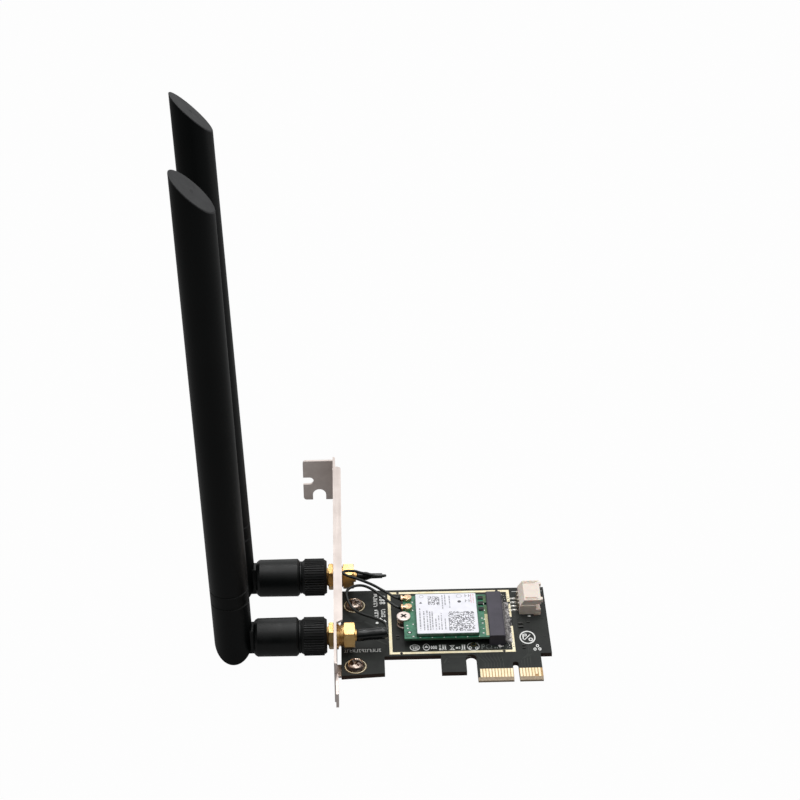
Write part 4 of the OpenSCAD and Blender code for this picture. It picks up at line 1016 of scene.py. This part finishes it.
def outward(number):
    """Place of a jack: its axis points out through the bracket, from its inner face."""
    axis = Matrix.Translation((0, jack_heights[number], jack_rise))
    return axis @ Matrix.Rotation(math.radians(-90), 4, "Y")


def sliced(bm, point, away):
    """Takes off what lies beyond a plane and closes the cut."""
    cut = bmesh.ops.bisect_plane(
        bm, geom=[*bm.verts, *bm.edges, *bm.faces], dist=1e-6,
        plane_co=point, plane_no=away, clear_outer=True,
    )
    rim = [e for e in cut["geom_cut"] if isinstance(e, bmesh.types.BMEdge)]
    bmesh.ops.holes_fill(bm, edges=rim, sides=0)


for number, port in enumerate(ports):
    barrel = bmesh.new()
    screw = [
        (2.3, 9.2), (2.3, 4.6), (0.0, 4.6), (0.0, -0.6), (thread_radius, -0.6), (thread_radius, 1.2)
    ]
    for k in range(11):
        crest = 1.3 + thread_pitch * k
        screw += [(thread_radius, crest), (thread_root, crest + 0.35)]
    screw += [(3.05, 9.1), (2.9, 9.2)]
    turned(barrel, screw, 72)
    sliced(barrel, (thread_flat, 0, 0), (1, 0, 0))
    turned(barrel, [
        (0.0, -0.6), (0.0, -6.7), (1.8, -6.7), (1.95, -6.55), (1.95, -5.9), (0.5, -5.9),
        (0.5, -2.4), (3.3, -2.4), (3.3, -2.2), (3.62, -2.1), (3.62, -1.85), (3.3, -1.75),
        (3.3, -1.55), (3.62, -1.45), (3.62, -1.2), (3.3, -1.1), (3.3, -0.95), (3.67, -0.85),
        (3.67, -0.6),
    ], 72)
    turned(barrel, [(0.0, -9.9), (1.15, -9.9), (1.15, -6.6), (0.0, -6.6)], 48)
    hexagon = bmesh.new()
    flat, corner = 4.0, 4.8
    drop = (corner - flat) * 0.577
    turned(hexagon, [
        (0.0, -6.0), (flat, -6.0), (corner, -6.0 + drop), (corner, -2.3 - drop), (flat, -2.3),
        (0.0, -2.3),
    ], 96)
    for side in range(6):
        waste = bmesh.new()
        block(waste, (flat, -5.0, -7.0), (flat + 2.0, 5.0, -1.3))
        turn = Matrix.Rotation(math.radians(45 + 60 * side), 4, "Z")
        bmesh.ops.transform(waste, matrix=turn, verts=waste.verts)
        hexagon = carved(hexagon, waste)
    add_to(barrel, hexagon)
    add_piece(
        f"{port}_jack_threaded", barrel, "card", brass_finish, [f"{port}_jack"],
        place=from_bracket @ outward(number),
    )

# Shrink sleeves: glossy black tube shrunk over the crimp and the first of the cable. The
# front one is wide, drawn in a little between two shoulders; the rear one is thin.
tube_finish = plain_finish(
    "glossy_tube", (10, 12, 12), (18, 22, 21), (0.12, 0.2), 0.0015, 0.0006, 0.000006
)
tube_outlines = {
    "front": [
        (0.0, -17.0), (0.865, -17.0), (1.35, -16.8), (1.75, -16.4), (1.98, -15.8), (2.05, -14.9),
        (2.0, -14.3), (2.1, -13.2), (2.06, -12.3), (1.96, -11.3), (1.95, -10.4), (2.03, -9.3),
        (2.1, -8.4), (2.1, -7.7), (2.05, -7.0), (1.92, -6.42), (0.0, -6.4),
    ],
    "rear": [
        (0.0, -15.7), (0.865, -15.7), (0.9, -13.4), (0.92, -12.1), (1.02, -11.5), (1.2, -11.0),
        (1.38, -10.5), (1.44, -9.9), (1.41, -9.0), (1.4, -8.4), (1.44, -7.8), (1.45, -7.4),
        (1.4, -7.05), (1.28, -6.92), (0.0, -6.9),
    ],
}
tube_sag = {"front": -5, "rear": 0}
for number, port in enumerate(ports):
    tube = bmesh.new()
    root = Matrix.Translation((0, 0, -6.9))
    lift = root @ Matrix.Rotation(math.radians(tube_sag[port]), 4, "Y") @ root.inverted()
    turned(tube, tube_outlines[port], 64)
    add_piece(
        f"{port}_shrunk_tube", tube, "card", tube_finish,
        [f"{port}_shrink_sleeve"], place=from_bracket @ outward(number) @ lift, sharp=50,
    )

# Pigtails: thin coax, black jacket over braid, soldered into the jack and crimped into the
# plug on the module. Their length and route are the CAD route's own points.
jacket_radius = 0.00047
jacket_finish = plain_finish(
    "coax_jacket", (12, 17, 16), (22, 30, 28), (0.3, 0.45), 0.002, 0.0002, 0.000004
)
routes = {
    "front": [
        (0, 0, 0), (0.7, 0.3, 0.1), (1, 1.2, 0.2), (1, 2.5, 0.2), (0.8, 4.2, -0.1),
        (0.3, 6.9, -0.8), (-1.2, 9.4, -1.7), (-3.4, 11.6, -2.4), (-5.6, 13.2, -2.8),
        (-7.7, 14.5, -2.9), (-9.4, 16.1, -3), (-10.7, 17.8, -2.8), (-11.8, 19.9, -2.1),
        (-12.4, 22.1, -0.8), (-12.1, 23.6, -0.1), (-11, 24.4, 0.3), (-9.6, 25.1, 0.4),
        (-8.2, 25.4, 0.4), (-6.8, 25.4, 0.3), (-5.2, 25, 0), (-3.1, 24, -0.7),
        (-1.6, 22.5, -0.9), (-0.3, 20.9, -1), (1.6, 18.8, -1.3), (3.4, 17, -1.6),
        (4.3, 16.3, -1.8), (5.1, 16.0, -1.86),
    ],
    "rear": [
        (0, 0, 0), (0.6, -0.1, 0.1), (1, -0.5, 0.4), (0.9, -1, 0.8), (0.2, -1.35, 0.95),
        (-1, -1.4, 1), (-2.6, -1.35, 1.15), (-4.2, -1.3, 1.6), (-5.8, -1.3, 2.1),
        (-7.7, -1.7, 2.9), (-9.4, -2.6, 4.4), (-11.6, -3.5, 5.2), (-12.9, -3.9, 5.4),
        (-13.5, -4.5, 5.3), (-13, -5, 5), (-11.6, -5.4, 4.5), (-10, -5.5, 3.9),
        (-8.2, -5.5, 3.1), (-5.9, -5.4, 1.9), (-3.2, -5.8, 0.7), (-0.9, -6.5, -0.5),
        (1.2, -7.6, -1.1), (3.2, -9.1, -1.6), (4.3, -9.8, -1.8), (5.1, -10.05, -1.86),
    ],
}
for number, port in enumerate(ports):
    start = Vector((15.7, jack_heights[number], jack_rise))
    points = [start + Vector(p) for p in routes[port]]
    points = [points[0] - Vector((0.6, 0, 0))] + points + [points[-1] + Vector((0.4, 0, 0))]
    line = bpy.data.curves.new(f"{port}_pigtail", "CURVE")
    line.dimensions = "3D"
    line.bevel_depth = jacket_radius
    line.bevel_resolution = 4
    line.use_fill_caps = True
    spline = line.splines.new("NURBS")
    spline.points.add(len(points) - 1)
    for knot, point in zip(spline.points, points):
        knot.co = (*(from_bracket @ point), 1.0)
    spline.order_u = 3
    spline.use_endpoint_u = True
    spline.resolution_u = 6
    drawn_line = bpy.data.objects.new("pigtail_line", line)
    bpy.context.scene.collection.objects.link(drawn_line)
    bpy.context.view_layer.update()
    jacket = bmesh.new()
    graph = bpy.context.evaluated_depsgraph_get()
    made = bpy.data.meshes.new_from_object(drawn_line.evaluated_get(graph))
    jacket.from_mesh(made)
    bpy.data.objects.remove(drawn_line)
    bpy.data.meshes.remove(made)
    bmesh.ops.remove_doubles(jacket, verts=jacket.verts, dist=1e-7)
    add_piece(
        f"{port}_pigtail", jacket, "card", jacket_finish, [f"{port}_coax"],
        place=Matrix.Identity(4), sharp=50,
    )

# Coupling nuts: moulded black grip with fine ribs over a threaded metal core. Each stays
# on its antenna and screws onto the jack.
grip_finish = plain_finish(
    "ribbed_grip", (10, 11, 11), (16, 18, 18),
    (0.4, 0.52), 0.003, 0.00015, 0.000006, Specular_IOR_Level=0.35,
)
dress(grip_finish, "front_coupling_nut", "rear_coupling_nut")

# Swivel sleeves and hinge pins: the moulded sleeve turns on the antenna's plug, against a
# washer on the plug's neck, and its eye carries the whip on a steel pin.
sleeve_finish = plain_finish(
    "satin_sleeve", (8, 10, 10), (14, 16, 16),
    (0.3, 0.42), 0.006, 0.0002, 0.000004, Specular_IOR_Level=0.3,
)
dress(sleeve_finish, "front_swivel_sleeve", "rear_swivel_sleeve")
washer_outline = [
    (2.15, 11.66), (5.3, 11.66), (5.5, 11.8), (5.5, 12.2), (5.3, 12.34), (2.15, 12.34)
]
for number, port in enumerate(ports):
    washer = bmesh.new()
    turned(washer, washer_outline, 64)
    add_piece(
        f"{port}_neck_washer", washer, "card", sleeve_finish,
        place=from_bracket @ outward(number),
    )
dress(screw_finish, "front_hinge_pin", "rear_hinge_pin")

# Whips: black moulded tubes, closed by a slanted end with the mould's gate mark in its
# middle, pushed over a collar ring and the knuckle's rounded base.
whip_finish, whip_tree, whip_shader = new_finish("black_whip", Specular_IOR_Level=0.16)
coat(
    whip_tree, whip_shader,
    between(whip_tree, grain(whip_tree, 0.02, 2.0), (7, 9, 9), (13, 15, 15)),
    grain(whip_tree, 0.01, 2.0, (1, 1, 0.2)), (0.36, 0.46),
    grain(whip_tree, 0.00018, 2.0), 0.000004,
)
end_finish = plain_finish(
    "slanted_end", (14, 16, 18), (19, 21, 24), (0.4, 0.5), 0.006, 0.00018, 0.000004
)
dress(whip_finish, "front_collar_ring", "rear_collar_ring")
whip_radius, cut_height, cut_slant = 6.3, 164, math.radians(46)
hinge_reach, slot_radius, slot_width = 33.9, 5.0, 5.8
whip_turns = {"front": (1.1, 1.5), "rear": (10.5, 2.7)}
for number, port in enumerate(ports):
    lean, tilt = whip_turns[port]
    stand = (
        Matrix.Translation((0, jack_heights[number], jack_rise))
        @ Matrix.Rotation(math.radians(-lean), 4, "X")
        @ Matrix.Translation((-hinge_reach, 0, 0))
        @ Matrix.Rotation(math.radians(-tilt), 4, "Y")
    )
    radome = bmesh.new()
    turned(radome, [
        (0.0, 21.3), (6.0, 21.3), (6.28, 21.55), (whip_radius, 21.9), (whip_radius, 60.0),
        (whip_radius, 110.0), (whip_radius, 173.0), (0.0, 173.0),
    ], 96)
    slant = Vector((math.sin(cut_slant), 0, math.cos(cut_slant)))
    sliced(radome, (0, 0, cut_height), slant)
    radome.normal_update()
    end_face = [f for f in radome.faces if abs(f.normal.dot(slant)) > 0.999]
    for face in end_face:
        face.material_index = 1
    rim = [e for face in end_face for e in face.edges]
    bmesh.ops.bevel(
        radome, geom=rim, offset=0.35, segments=3, affect="EDGES", profile=0.5, material=1
    )
    gate = Matrix.Translation((0, 0, cut_height)) @ Matrix.Rotation(cut_slant, 4, "Y")
    turned(radome, [
        (0.0, -0.3), (0.62, -0.3), (0.62, -0.02), (0.5, 0.03), (0.3, -0.02), (0.0, -0.06)
    ], 24, place=gate)
    base = bmesh.new()
    turned(base, [
        (0.0, -1.0), *[(0.525 * k, -1.0) for k in range(1, 13)], (whip_radius, 6.0),
        (whip_radius, 16.1), (6.0, 16.4), (0.0, 16.4),
    ], 96)
    for v in base.verts:
        if v.co.z < 0:
            v.co.z = -math.sqrt(max(0.0, whip_radius ** 2 - v.co.x ** 2))
    slot = bmesh.new()
    slot_line = [(13.0, slot_radius)]
    for k in range(17):
        way = math.radians(90 + 90 * k / 16)
        slot_line.append((slot_radius * math.cos(way), slot_radius * math.sin(way)))
    slot_line += [(-slot_radius, -13.0), (13.0, -13.0)]
    slot_side = slot.faces.new([slot.verts.new((x, -slot_width / 2, z)) for x, z in slot_line])
    grown = bmesh.ops.extrude_face_region(slot, geom=[slot_side])["geom"]
    far_side = [v for v in grown if isinstance(v, bmesh.types.BMVert)]
    bmesh.ops.translate(slot, vec=(0, slot_width, 0), verts=far_side)
    base = carved(base, slot)
    add_piece(
        f"{port}_base_round_end", base, f"{port}_whip", whip_finish,
        [f"{port}_knuckle_base"], place=from_bracket @ stand,
    )
    add_piece(
        f"{port}_whip_shell", radome, f"{port}_whip", [whip_finish, end_finish],
        [f"{port}_radome"], place=from_bracket @ stand,
    )
